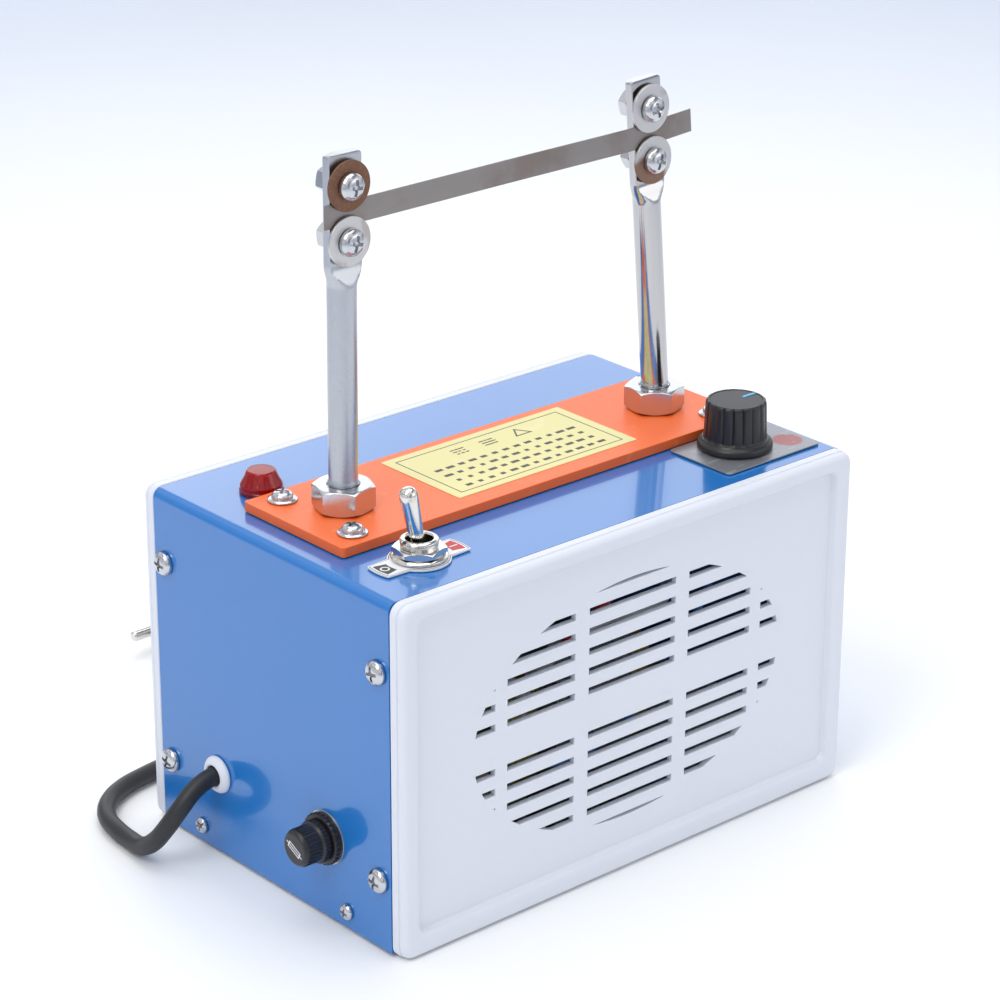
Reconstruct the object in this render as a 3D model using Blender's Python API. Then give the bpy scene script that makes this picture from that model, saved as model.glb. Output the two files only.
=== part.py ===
"""A bench-top hot-blade cutter for ribbon and webbing, as an assembly of separate pieces.

Metres, +Z up. The origin is the centre of the base tray's underside. The two vented bezels face
-Y (front) and +Y (rear); the cord and the fuse are at the -X end, the dial is at the +X end.
"""

import math

import bmesh
import bpy
from mathutils import Matrix, Vector

MM = 0.001
GAP = 0.3 * MM

# Sheet steel case: an upside-down U over a shallow tray.
CASE_WIDTH = 186.0 * MM
CASE_DEPTH = 113.5 * MM
CASE_TOP = 115.0 * MM
CASE_BOTTOM = 1.2 * MM
SHEET = 1.2 * MM
BEND_RADIUS = 3.0 * MM
SIDE = CASE_WIDTH / 2
TRAY_DEPTH = 90.0 * MM
TRAY_FLANGE = 14.0 * MM
TRAY_SCREW_Y = 36.3 * MM
TRAY_SCREW_Z = 6.8 * MM
WALL_CUT = 6.0 * MM

# Screws, as (head radius, head height, shank radius, length), and their holes' radii.
BEZEL_SCREW = (3.9 * MM, 2.5 * MM, 1.8 * MM, 6.5 * MM)
BEZEL_SCREW_HOLE = 2.2 * MM
TRAY_SCREW = (2.6 * MM, 1.7 * MM, 1.35 * MM, 5.0 * MM)
TRAY_SCREW_HOLE = 1.7 * MM
PLATE_SCREW = (3.4 * MM, 2.2 * MM, 1.5 * MM, 9.0 * MM)
PLATE_SCREW_FLANGE = (4.65 * MM, 0.7 * MM)
PLATE_SCREW_HOLE = 2.0 * MM
COVER_SCREW_HOLE = 1.8 * MM

# Moulded bezels with a slotted oval vent.
BEZEL_HEIGHT = 115.2 * MM
BEZEL_DEPTH = 6.0 * MM
BEZEL_CORNER = 4.0 * MM
RECESS_WIDTH = 171.6 * MM
RECESS_BOTTOM = 8.2 * MM
RECESS_TOP = 109.0 * MM
RECESS_DEPTH = 2.5 * MM
RECESS_CORNER = 2.5 * MM
PANEL_THICKNESS = 2.0 * MM
SKIRT_LENGTH = 10.7 * MM
SKIRT_WALL = 2.4 * MM
SKIRT_BOTTOM = 1.8 * MM
SKIRT_CORNER = 2.0 * MM
BEZEL_SCREW_Y = 51.6 * MM
BEZEL_SCREW_Z = (23.9 * MM, 91.8 * MM)
VENT_HALF_WIDTH = 64.1 * MM
VENT_HALF_HEIGHT = 40.4 * MM
VENT_CENTRE_Z = 57.6 * MM
SLOT_HEIGHT = 2.4 * MM
SLOT_PITCH = 6.6 * MM
SLOT_FIRST = 7.4 * MM
SLOT_ROWS = 6
INNER_BAR = (20.8 * MM, 5.6 * MM)
OUTER_BAR = (53.1 * MM, 4.7 * MM)
NARROWEST_SLOT = 2.0 * MM

# Insulating plate and the two blade posts on top of the case.
TOP_CENTRE_X = 1.0 * MM
PLATE_SIZE = (168.0 * MM, 48.0 * MM, 3.2 * MM)
PLATE_BOTTOM = CASE_TOP + GAP
PLATE_TOP = PLATE_BOTTOM + PLATE_SIZE[2]
PLATE_SCREW_X = 74.6 * MM
PLATE_SCREW_Y = 16.8 * MM
POST_X = 64.4 * MM
POST_RADIUS = 4.5 * MM
POST_THREAD = 5.0 * MM
POST_FOOT = 101.0 * MM
POST_BEND = 128.2 * MM
POST_TOP = 229.3 * MM
FLAT_START = 196.0 * MM
FLAT_HALF_WIDTH = 6.4 * MM
FLAT_FRONT = 2.2 * MM
FLAT_BACK = 2.5 * MM
LEFT_LEAN = (math.radians(0.5), 0.0)
RIGHT_LEAN = (math.radians(-3.6), math.radians(-1.4))
POST_NUT = (8.5 * MM, 7.8 * MM)
LOCKNUT_HEIGHT = 6.0 * MM
NUT_BORE = 5.7 * MM
NUT_CHAMFER = 0.2 * MM
POST_OPENING = 12.0 * MM

# Strip blade and its clamps, measured from the middle of the clamp on each post.
CLAMP_Z = 211.6 * MM
CLAMP_SCREW = 8.4 * MM
BLADE_WIDTH = 7.4 * MM
BLADE_THICKNESS = 0.4 * MM
BLADE_ENDS = (-71.0 * MM, 78.0 * MM)
BLADE_BOW = 0.5 * MM
WASHER_RADIUS = 7.7 * MM
WASHER_THICKNESS = 1.0 * MM
CLAMP_HEAD = (4.3 * MM, 3.0 * MM)
CLAMP_SHANK = 2.35 * MM
CLAMP_SCREW_LENGTH = 12.4 * MM
CLAMP_HOLE = 2.75 * MM
CLAMP_NUT = (4.0 * MM, 3.8 * MM)

# Controls on top of the case.
LAMP = Vector((-69.2 * MM, 33.0 * MM, CASE_TOP))
LAMP_RADIUS = 6.9 * MM
LAMP_HEIGHT = 7.2 * MM
LAMP_RIM_HEIGHT = 2.6 * MM
LAMP_SHOULDER = (5.6 * MM, 4.6 * MM)
LAMP_FACE = 4.0 * MM
LAMP_HOLDER = (4.6 * MM, 16.0 * MM)
LAMP_HOLE = 5.0 * MM
SWITCH = Vector((-66.1 * MM, -38.5 * MM, CASE_TOP))
SWITCH_PIVOT = 2.8 * MM
SWITCH_TILT = math.radians(12.0)
LEVER_LENGTH = 21.6 * MM
LEVER_RADII = (1.9 * MM, 2.6 * MM, 2.1 * MM, 2.85 * MM)
BUSHING_RADIUS = 5.9 * MM
BUSHING_HEIGHT = 7.3 * MM
BUSHING_BORE = 4.0 * MM
BUSHING_FLOOR = -0.6 * MM
SWITCH_BODY = (18.0 * MM, 13.0 * MM, 18.0 * MM)
SWITCH_BODY_MIDDLE = -12.0 * MM
SWITCH_STEM = (6.2 * MM, 22.0 * MM)
SWITCH_HOLE = 6.3 * MM
SWITCH_LABEL_RADIUS = 9.6 * MM
SWITCH_LABEL_TABS = (33.0 * MM, 10.0 * MM)
SWITCH_NUT_FLANGE = (8.6 * MM, 1.5 * MM)
SWITCH_NUT_FLATS = 14.4 * MM
SWITCH_NUT_HEIGHT = 3.8 * MM
KNOB = Vector((65.6 * MM, -36.9 * MM, CASE_TOP))
KNOB_SKIRT = 12.0 * MM
KNOB_RADIUS = 9.8 * MM
KNOB_HEIGHT = 16.4 * MM
KNOB_FLUTES = 18
KNOB_FLUTE_DEPTH = 0.6 * MM
KNOB_BORE = 3.3 * MM
KNOB_CUP = 7.5 * MM
KNOB_CUP_DEPTH = 2.6 * MM
KNOB_CUP_TOP = 11.6 * MM
KNOB_SHAFT_RADIUS = 2.95 * MM
KNOB_HOLE = 4.0 * MM
DIMMER_RADIUS = 8.2 * MM
DIMMER_DEPTH = 12.0 * MM
DIMMER_STEM = 3.5 * MM
DIAL_CENTRE = (68.4 * MM, -38.6 * MM)
DIAL_SIZE = (41.0 * MM, 27.0 * MM)
LABEL_PLATE = 0.5 * MM

# Mains inlet end.
FUSE_Y = -26.3 * MM
FUSE_Z = 28.0 * MM
FUSE_FLANGE = (8.3 * MM, 2.6 * MM)
FUSE_HOLDER_RADIUS = 6.3 * MM
FUSE_HOLDER_LENGTH = 27.0 * MM
FUSE_HOLDER_END = 3.0 * MM
FUSE_BORE = 5.2 * MM
FUSE_HOLE = 6.7 * MM
FUSE_CAP_RIM = (6.8 * MM, 5.4 * MM)
FUSE_CAP_RADIUS = 6.1 * MM
FUSE_CAP_LENGTH = 12.2 * MM
FUSE_CAP_STEM = (4.6 * MM, 7.0 * MM)
FUSE_CAP_SOCKET = (2.9 * MM, 1.0 * MM)
FUSE_TUBE = (2.55 * MM, 20.0 * MM)
FUSE_TUBE_END = 0.7 * MM
BUSHING_HOLE = Vector((-SIDE, 27.0 * MM, 28.4 * MM))
CORD_BUSHING_BORE = 3.6 * MM
CORD_BUSHING_STEM = (4.8 * MM, 7.0 * MM)
CORD_BUSHING_HEAD = (6.1 * MM, 2.6 * MM)
INLET_HOLE = 5.1 * MM

# Transformer and control board inside.
CORE_SIZE = (32.0 * MM, 66.0 * MM, 66.0 * MM)
CORE_CENTRE = Vector((10.0 * MM, 0.0, SHEET + GAP + 33.0 * MM))
COIL_SIZE = (66.0 * MM, 48.0 * MM, 38.0 * MM)
LEG_WIDTH = 13.0 * MM
BOARD_SIZE = (36.0 * MM, 64.0 * MM, 1.6 * MM)
BOARD_CENTRE = Vector((-44.0 * MM, -10.0 * MM, 24.8 * MM))
STANDOFF_RADIUS = 3.0 * MM
STANDOFF_INSET = 6.0 * MM
HEAT_SINK = (14.0 * MM, 12.0 * MM, 22.0 * MM)
HEAT_SINK_PLACE = (-9.0 * MM, 16.0 * MM)
CAPACITOR = (6.0 * MM, 18.0 * MM)
CAPACITOR_PLACE = (9.0 * MM, 14.0 * MM)
TERMINALS = (28.0 * MM, 9.0 * MM, 10.0 * MM)
TERMINALS_Y = -22.0 * MM
SUNK = 0.5 * MM

# Mains lead: the stretch from the bushing to the coil, then the coil on the floor.
CORD_RADIUS = 3.0 * MM
COIL_CENTRE = (52.0 * MM, 112.0 * MM)
COIL_RADII = (23.8 * MM, 42.2 * MM)
COIL_HEIGHT = 12.6 * MM
CORD_ROUTE = [
    (-88.0, 27.0, 28.4),
    (-95.0, 27.0, 28.4),
    (-102.4, 27.0, 26.1),
    (-108.1, 27.6, 20.8),
    (-111.7, 30.1, 14.5),
    (-113.3, 34.7, 8.5),
    (-113.3, 41.2, 4.4),
    (-112.5, 48.8, 3.2),
    (-111.7, 57.0, 3.2),
    (-109.6, 65.0, 3.2),
    (-104.5, 72.6, 3.2),
    (-96.0, 78.4, 3.2),
    (-84.0, 81.6, 3.2),
    (-66.0, 83.2, 3.2),
    (-46.0, 82.6, 3.2),
    (-24.0, 79.6, 3.2),
    (-4.0, 76.4, 3.2),
    (12.0, 74.0, 3.2),
    (27.5, 73.0, 3.2),
]

# Two-pin plug, with its lengths measured from the end of its sleeve.
PLUG_BACK = Vector((28.0 * MM, 152.5 * MM, 8.8 * MM))
PLUG_SLEEVE = (3.6 * MM, 4.6 * MM, 6.4 * MM)
PLUG_SLEEVE_LENGTH = 18.0 * MM
PLUG_BODY = (16.0 * MM, 40.0 * MM)
PLUG_WIDTH = 35.0 * MM
PLUG_THICKNESS = 16.0 * MM
PLUG_CORNER = 7.0 * MM
PIN_SPACING = 19.0 * MM
PIN_RADIUS = 2.0 * MM
PIN_END = 59.0 * MM

ROUND = 24
SMALL_ROUND = 12
TURN_X = Matrix.Rotation(math.radians(-90), 4, "Y")
TURN_Y = Matrix.Rotation(math.radians(90), 4, "X")


def clear_scene():
    for obj in list(bpy.data.objects):
        bpy.data.objects.remove(obj, do_unlink=True)


def material(name, colour, roughness, metallic=0.0):
    """One Principled material, made once for each name."""
    found = bpy.data.materials.get(name)
    if found:
        return found
    made = bpy.data.materials.new(name)
    made.use_nodes = True
    shader = made.node_tree.nodes["Principled BSDF"]
    shader.inputs["Base Color"].default_value = (*colour, 1.0)
    shader.inputs["Roughness"].default_value = roughness
    shader.inputs["Metallic"].default_value = metallic
    return made


def blue_paint():
    return material("blue_paint", (0.03, 0.18, 0.55), 0.3)


def white_plastic():
    return material("white_plastic", (0.85, 0.86, 0.9), 0.4)


def zinc():
    return material("zinc_plate", (0.7, 0.72, 0.74), 0.28, 1.0)


def orange_board():
    return material("orange_board", (0.9, 0.2, 0.04), 0.45)


def blade_steel():
    return material("blade_steel", (0.42, 0.38, 0.35), 0.35, 1.0)


def black_plastic():
    return material("black_plastic", (0.02, 0.02, 0.022), 0.35)


def finish(name, bm, surface, location=(0, 0, 0), turn=None, parent=None):
    """Turns a bmesh into a named object with smooth round faces and outward normals."""
    if turn is not None:
        bmesh.ops.transform(bm, matrix=turn, verts=bm.verts)
    bmesh.ops.recalc_face_normals(bm, faces=bm.faces)
    mesh = bpy.data.meshes.new(name)
    bm.to_mesh(mesh)
    bm.free()
    mesh.shade_smooth()
    mesh.set_sharp_from_angle(angle=math.radians(35))
    return place(name, mesh, surface, location, parent)


def place(name, mesh, surface, location, parent=None):
    obj = bpy.data.objects.new(name, mesh)
    if not mesh.materials:
        mesh.materials.append(surface)
    obj.location = location
    obj.parent = parent
    bpy.context.scene.collection.objects.link(obj)
    return obj


def turned(profile, segments=ROUND):
    """A closed solid from (radius, height) points, spun about Z."""
    bm = bmesh.new()
    verts = [bm.verts.new((r, 0.0, z)) for r, z in profile]
    loop = verts + verts[:1] if profile[0][0] > 0 and profile[-1][0] > 0 else verts
    edges = [bm.edges.new(pair) for pair in zip(loop, loop[1:]) if pair[0] is not pair[1]]
    bmesh.ops.spin(
        bm,
        geom=verts + edges,
        cent=(0, 0, 0),
        axis=(0, 0, 1),
        angle=2 * math.pi,
        steps=segments,
        use_merge=True,
    )
    bmesh.ops.remove_doubles(bm, verts=bm.verts, dist=1e-6)
    return bm


def ring(inner, outer, low, high, segments=ROUND):
    """A plain washer or tube."""
    return turned([(inner, low), (outer, low), (outer, high), (inner, high)], segments)


def rod(radius, low, high, segments=ROUND):
    return turned([(0, low), (radius, low), (radius, high), (0, high)], segments)


def prism(outline, low, high):
    """A closed solid from an XY outline, extruded along Z."""
    bm = bmesh.new()
    face = bm.faces.new([bm.verts.new((x, y, low)) for x, y in outline])
    top = bmesh.ops.extrude_face_region(bm, geom=[face])["geom"]
    moved = [item for item in top if isinstance(item, bmesh.types.BMVert)]
    bmesh.ops.translate(bm, verts=moved, vec=(0, 0, high - low))
    return bm


def skin(rings):
    """A closed solid through rings that all have the same number of points."""
    bm = bmesh.new()
    rows = [[bm.verts.new(point) for point in points] for points in rings]
    for lower, upper in zip(rows, rows[1:]):
        for index in range(len(lower)):
            following = (index + 1) % len(lower)
            bm.faces.new((lower[index], lower[following], upper[following], upper[index]))
    bm.faces.new(rows[0])
    bm.faces.new(rows[-1])
    return bm


def box(size, centre):
    bm = bmesh.new()
    matrix = Matrix.Translation(centre) @ Matrix.Diagonal((*size, 1))
    bmesh.ops.create_cube(bm, size=1.0, matrix=matrix)
    return bm


def arc(centre, radius, start, end, steps):
    """Points along an arc, with both ends included. Angles are in degrees."""
    angles = [math.radians(start + (end - start) * step / steps) for step in range(steps + 1)]
    return [(centre[0] + radius * math.cos(a), centre[1] + radius * math.sin(a)) for a in angles]


def rounded_rectangle(half_x, low_y, high_y, radius, steps=4):
    """An outline of four corner arcs, anticlockwise from the +X side."""
    points = []
    for x, y, start in (
        (half_x - radius, high_y - radius, 0),
        (radius - half_x, high_y - radius, 90),
        (radius - half_x, low_y + radius, 180),
        (half_x - radius, low_y + radius, 270),
    ):
        points += arc((x, y), radius, start, start + 90, steps)
    return points


def join(target, *others):
    """Adds the other bmeshes' faces to the first, as separate closed shells."""
    for other in others:
        scratch = bpy.data.meshes.new("scratch")
        other.to_mesh(scratch)
        other.free()
        target.from_mesh(scratch)
        bpy.data.meshes.remove(scratch)
    return target


def moved(bm, offset, turn=None):
    if turn is not None:
        bmesh.ops.transform(bm, matrix=turn, verts=bm.verts)
    bmesh.ops.translate(bm, verts=bm.verts, vec=offset)
    return bm


def tool(name, bm, parent=None):
    """A hidden helper solid for a Boolean."""
    helper = finish(name, bm, zinc(), parent=parent)
    helper.hide_render = True
    helper.display_type = "WIRE"
    return helper


def combine(obj, bm, operation="DIFFERENCE", label="cut"):
    """Cuts the helper solid from an object, or adds it, with a live modifier."""
    modifier = obj.modifiers.new(label, "BOOLEAN")
    modifier.operation = operation
    modifier.solver = "EXACT"
    modifier.object = tool(obj.name + "_" + label, bm)


def frame(name, location, rotation=None):
    """An empty that carries the pieces placed from it."""
    empty = bpy.data.objects.new(name, None)
    empty.location = location
    if rotation is not None:
        empty.rotation_euler = rotation.to_euler()
    bpy.context.scene.collection.objects.link(empty)
    return empty


def across_x(radius, y, z, x_from, x_to, segments=SMALL_ROUND):
    """A round bar along X, for holes through the side walls."""
    bm = rod(radius, x_from, x_to, segments)
    bmesh.ops.transform(bm, matrix=Matrix.Rotation(math.radians(90), 4, "Y"), verts=bm.verts)
    return moved(bm, (0, y, z))


def down(radius, x, y, segments=ROUND):
    """A round bar down through the top sheet."""
    return moved(rod(radius, CASE_TOP - WALL_CUT, CASE_TOP + WALL_CUT, segments), (x, y, 0))


def bezel_screw_places():
    return [(x, y, z) for x in (-1, 1) for y in (-BEZEL_SCREW_Y, BEZEL_SCREW_Y) for z in BEZEL_SCREW_Z]


def tray_screw_places():
    return [(x, y, TRAY_SCREW_Z) for x in (-1, 1) for y in (-TRAY_SCREW_Y, TRAY_SCREW_Y)]


def plate_screw_places():
    return [
        (TOP_CENTRE_X + x * PLATE_SCREW_X, y * PLATE_SCREW_Y) for x in (-1, 1) for y in (-1, 1)
    ]


def side_holes(places, radius):
    """Short cutters through the side walls, one for each screw."""
    bars = [
        across_x(radius, y, z, x * SIDE - WALL_CUT, x * SIDE + WALL_CUT) for x, y, z in places
    ]
    return join(*bars)


def case_cover():
    """A sheet bent down at both ends, with holes for everything that passes through it."""
    inner = BEND_RADIUS - SHEET
    corner = SIDE - BEND_RADIUS
    top = CASE_TOP - BEND_RADIUS
    outline = [(SIDE, CASE_BOTTOM)] + arc((corner, top), BEND_RADIUS, 0, 90, 5)
    outline += arc((-corner, top), BEND_RADIUS, 90, 180, 5) + [(-SIDE, CASE_BOTTOM)]
    outline += [(SHEET - SIDE, CASE_BOTTOM)] + arc((-corner, top), inner, 180, 90, 5)
    outline += arc((corner, top), inner, 90, 0, 5) + [(SIDE - SHEET, CASE_BOTTOM)]
    bm = prism(outline, -CASE_DEPTH / 2, CASE_DEPTH / 2)
    cover = finish("case_cover", bm, blue_paint(), turn=TURN_Y)
    combine(cover, side_holes(bezel_screw_places(), BEZEL_SCREW_HOLE), label="bezel_holes")
    combine(cover, side_holes(tray_screw_places(), TRAY_SCREW_HOLE), label="tray_holes")
    low, high = -SIDE - WALL_CUT, -SIDE + WALL_CUT
    inlet = across_x(INLET_HOLE, BUSHING_HOLE.y, BUSHING_HOLE.z, low, high, ROUND)
    combine(cover, join(inlet, across_x(FUSE_HOLE, FUSE_Y, FUSE_Z, low, high, ROUND)), label="inlet_holes")
    controls = join(
        down(LAMP_HOLE, LAMP.x, LAMP.y),
        down(SWITCH_HOLE, SWITCH.x, SWITCH.y),
        down(KNOB_HOLE, KNOB.x, KNOB.y),
    )
    combine(cover, controls, label="control_holes")
    posts = join(*[down(POST_OPENING, TOP_CENTRE_X + side * POST_X, 0.0) for side in (-1, 1)])
    combine(cover, posts, label="post_openings")
    screws = join(*[down(COVER_SCREW_HOLE, x, y, SMALL_ROUND) for x, y in plate_screw_places()])
    combine(cover, screws, label="plate_holes")


def base_tray():
    """A folded tray between the cover's sides, which the case stands on."""
    half = SIDE - SHEET - GAP
    outline = [
        (half, 0.0),
        (half, TRAY_FLANGE),
        (half - SHEET, TRAY_FLANGE),
        (half - SHEET, SHEET),
        (SHEET - half, SHEET),
        (SHEET - half, TRAY_FLANGE),
        (-half, TRAY_FLANGE),
        (-half, 0.0),
    ]
    bm = prism(outline, -TRAY_DEPTH / 2, TRAY_DEPTH / 2)
    steel = material("tray_steel", (0.6, 0.61, 0.62), 0.35, 1.0)
    tray = finish("base_tray", bm, steel, turn=TURN_Y)
    combine(tray, side_holes(tray_screw_places(), TRAY_SCREW_HOLE), label="screw_holes")


def standoff_places():
    reach_x = BOARD_SIZE[0] / 2 - STANDOFF_INSET
    reach_y = BOARD_SIZE[1] / 2 - STANDOFF_INSET
    return [
        (BOARD_CENTRE.x + x * reach_x, BOARD_CENTRE.y + y * reach_y) for x in (-1, 1) for y in (-1, 1)
    ]


def bezel_sections():
    """(outline, distance out from the case's edge) from the skirt's end round to the panel."""
    skirt = SIDE - SHEET - GAP
    low = SKIRT_BOTTOM
    high = CASE_TOP - SHEET - GAP
    wall = SKIRT_WALL
    back = RECESS_DEPTH + PANEL_THICKNESS

    def outer(trim):
        return rounded_rectangle(SIDE - trim, trim, BEZEL_HEIGHT - trim, BEZEL_CORNER)

    def recess(grow):
        half = RECESS_WIDTH / 2 + grow
        return rounded_rectangle(half, RECESS_BOTTOM - grow, RECESS_TOP + grow, RECESS_CORNER + grow)

    def inside():
        return rounded_rectangle(skirt - wall, low + wall, high - wall, SKIRT_CORNER / 2)

    def sleeve():
        return rounded_rectangle(skirt, low, high, SKIRT_CORNER)

    front = BEZEL_DEPTH
    return [
        (inside(), front - back),
        (inside(), -SKIRT_LENGTH),
        (sleeve(), -SKIRT_LENGTH),
        (sleeve(), GAP),
        (outer(0.0), GAP),
        (outer(0.0), front - 3.0 * MM),
        (outer(0.45 * MM), front - 2.6 * MM),
        (outer(0.3 * MM), front - 2.1 * MM),
        (outer(0.7 * MM), front - 0.8 * MM),
        (outer(2.0 * MM), front - 0.1 * MM),
        (recess(2.2 * MM), front),
        (recess(0.8 * MM), front - 0.4 * MM),
        (recess(0.0), front - RECESS_DEPTH),
    ]


def bezel_blank():
    """The moulding without its vent, with its front towards +Z and its height along Y."""
    return skin([[(x, y, depth) for x, y in outline] for outline, depth in bezel_sections()])


def vent_edge(z):
    """Half the width of the oval vent at a height above its centre."""
    return VENT_HALF_WIDTH * math.sqrt(max(0.0, 1.0 - (z / VENT_HALF_HEIGHT) ** 2))


def slot_outline(left, right, low, high):
    """One slot between two bars, trimmed where the oval crosses it, or None if little is left."""
    rim = VENT_HALF_HEIGHT * 0.995
    low = max(min(low, rim), -rim)
    high = max(min(high, rim), -rim)
    levels = (low, (low + high) / 2, high)
    spans = [(max(left, -vent_edge(z)), min(right, vent_edge(z)), z) for z in levels]
    spans = [(start, end, z) for start, end, z in spans if end - start > 0.1 * NARROWEST_SLOT]
    widest = max((end - start for start, end, z in spans), default=0.0)
    if len(spans) < 2 or widest < NARROWEST_SLOT or high - low < SLOT_HEIGHT / 4:
        return None
    return [(end, z) for start, end, z in spans] + [(start, z) for start, end, z in reversed(spans)]


def vent_cutter():
    """Every slot of the vent, as separate prisms through the panel."""
    bars = [(-centre - width / 2, -centre + width / 2) for centre, width in (OUTER_BAR, INNER_BAR)]
    bars += [(-right, -left) for left, right in reversed(bars)]
    starts = [-VENT_HALF_WIDTH] + [right for left, right in bars]
    ends = [left for left, right in bars] + [VENT_HALF_WIDTH]
    rows = [SLOT_FIRST + SLOT_PITCH * row for row in range(SLOT_ROWS)]
    shells = []
    for centre in rows + [-row for row in rows]:
        for left, right in zip(starts, ends):
            half = SLOT_HEIGHT / 2
            outline = slot_outline(left, right, centre - half, centre + half)
            if outline:
                shells.append(prism(outline, 0.0, BEZEL_DEPTH))
    return moved(join(*shells), (0, VENT_CENTRE_Z, 0))


def bezel(name, facing):
    """facing is -1 for the front and +1 for the rear."""
    turn = TURN_Y if facing < 0 else Matrix.Rotation(math.pi, 4, "Z") @ TURN_Y
    shift = Matrix.Translation((0, facing * CASE_DEPTH / 2, 0))
    moulding = finish(name, bezel_blank(), white_plastic(), turn=shift @ turn)
    cutter = vent_cutter()
    bmesh.ops.transform(cutter, matrix=shift @ turn, verts=cutter.verts)
    combine(moulding, cutter, label="vent")
    places = [place for place in bezel_screw_places() if place[1] * facing > 0]
    combine(moulding, side_holes(places, BEZEL_SCREW_HOLE), label="screw_holes")


def screw_mesh(name, size, flange=None):
    """A domed screw along +Z, its head's underside at zero and its shank below."""
    head, height, shank, length = size
    profile = [(0, -length), (shank, -length), (shank, 0)]
    if flange:
        reach, thickness = flange
        profile += [(reach, 0), (reach, thickness), (head, thickness + 0.1 * MM)]
        height += thickness
    else:
        profile += [(head, 0)]
    profile += [(head * 0.98, height * 0.5), (head * 0.72, height * 0.88), (0, height)]
    bm = turned(profile, SMALL_ROUND)
    bmesh.ops.recalc_face_normals(bm, faces=bm.faces)
    mesh = bpy.data.meshes.new(name)
    bm.to_mesh(mesh)
    bm.free()
    mesh.shade_smooth()
    mesh.set_sharp_from_angle(angle=math.radians(35))
    return mesh


def side_screws(name, places, mesh):
    """Copies of one screw in the side walls, with their heads outside."""
    for number, (side, y, z) in enumerate(places, 1):
        obj = place(f"{name}_{number}", mesh, zinc(), (side * (SIDE + GAP), y, z))
        obj.rotation_euler = (0, math.radians(90 * side), 0)


def case_screws():
    side_screws("bezel_screw", bezel_screw_places(), screw_mesh("m4_screw", BEZEL_SCREW))
    side_screws("tray_screw", tray_screw_places(), screw_mesh("m3_screw", TRAY_SCREW))


def insulator_plate():
    """The orange board that keeps the posts clear of the steel."""
    size_x, size_y, thickness = PLATE_SIZE
    outline = rounded_rectangle(size_x / 2, -size_y / 2, size_y / 2, 1.5 * MM, 3)
    bm = moved(prism(outline, 0, thickness), (TOP_CENTRE_X, 0, PLATE_BOTTOM))
    plate = finish("insulator_plate", bm, orange_board())
    posts = join(*[down(NUT_BORE, TOP_CENTRE_X + side * POST_X, 0.0) for side in (-1, 1)])
    combine(plate, posts, label="post_holes")
    screws = join(*[down(PLATE_SCREW_HOLE, x, y, SMALL_ROUND) for x, y in plate_screw_places()])
    combine(plate, screws, label="screw_holes")
    mesh = screw_mesh("flanged_screw", PLATE_SCREW, PLATE_SCREW_FLANGE)
    for number, (x, y) in enumerate(plate_screw_places(), 1):
        place(f"plate_screw_{number}", mesh, zinc(), (x, y, PLATE_TOP + GAP))


def hexagon(across_flats, start=0.0):
    return arc((0, 0), across_flats / math.sqrt(3), start, start + 300, 5)


def nut(name, half_flats, height, bore, location, parent=None, turn=None, start=0.0):
    """A hexagon nut with chamfered corners and a plain bore."""
    bm = prism(hexagon(2 * half_flats, start), 0, height)
    obj = finish(name, bm, zinc(), location, turn, parent)
    clear = 1.0 * MM
    corner = 2 * half_flats / math.sqrt(3) + NUT_CHAMFER
    end = half_flats - NUT_CHAMFER - clear
    cone = turned(
        [
            (0, -clear),
            (end, -clear),
            (corner, 0.16 * height),
            (corner, 0.84 * height),
            (end, height + clear),
            (0, height + clear),
        ]
    )
    hole = rod(bore, -clear, height + clear, 16)
    for label, operation, helper in (("chamfer", "INTERSECT", cone), ("bore", "DIFFERENCE", hole)):
        if turn is not None:
            bmesh.ops.transform(helper, matrix=turn, verts=helper.verts)
        combine(obj, helper, operation, label)
        cutter = obj.modifiers[label].object
        cutter.parent = parent
        cutter.location = location


def post_section(z, width, front, back):
    """A round or flat-fronted section with the same number of points at every height."""
    points = []
    for step in range(20):
        angle = 2 * math.pi * step / 20
        x = width * math.cos(angle)
        y = back * math.sin(angle) if math.sin(angle) > 0 else max(-front, width * math.sin(angle))
        points.append((x, y, z))
    return points


def lean_matrix(lean):
    """The lean above the bend: about Y towards the other post, and about X to the back."""
    return Matrix.Rotation(lean[0], 4, "Y") @ Matrix.Rotation(lean[1], 4, "X")


def post_sections():
    thread = POST_THREAD
    shaft = POST_RADIUS
    flat = (FLAT_HALF_WIDTH, FLAT_FRONT, FLAT_BACK)
    return [
        (POST_FOOT, thread - 0.6 * MM, thread, thread - 0.6 * MM),
        (POST_FOOT + 0.8 * MM, thread, thread, thread),
        (POST_BEND - 0.8 * MM, thread, thread, thread),
        (POST_BEND, shaft, shaft, shaft),
        (FLAT_START - 7 * MM, shaft, shaft, shaft),
        (FLAT_START, *flat),
        (POST_TOP - 1.0 * MM, *flat),
        (POST_TOP, FLAT_HALF_WIDTH - 0.8 * MM, FLAT_FRONT, FLAT_BACK - 0.6 * MM),
    ]


def post(name, side, lean):
    """A rod threaded at its foot, bent a little above the nut and pressed flat at its top."""
    bend = Vector((0, 0, POST_BEND))
    turn = lean_matrix(lean)
    rings = []
    for height, width, front, back in post_sections():
        points = [Vector(point) for point in post_section(height, width, front, back)]
        if height > POST_BEND:
            points = [turn @ (point - bend) + bend for point in points]
        rings.append(points)
    foot = Vector((TOP_CENTRE_X + side * POST_X, 0, 0))
    obj = finish(name, skin(rings), zinc(), foot)
    clamp = frame(name + "_clamp", foot + turn @ (Vector((0, 0, CLAMP_Z)) - bend) + bend, turn)
    holes = join(
        *[
            moved(rod(CLAMP_HOLE, -9 * MM, 9 * MM, SMALL_ROUND), (0, 0, z), TURN_Y)
            for z in (-CLAMP_SCREW, CLAMP_SCREW)
        ]
    )
    combine(obj, holes, label="holes")
    obj.modifiers["holes"].object.parent = clamp
    return clamp


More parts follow.
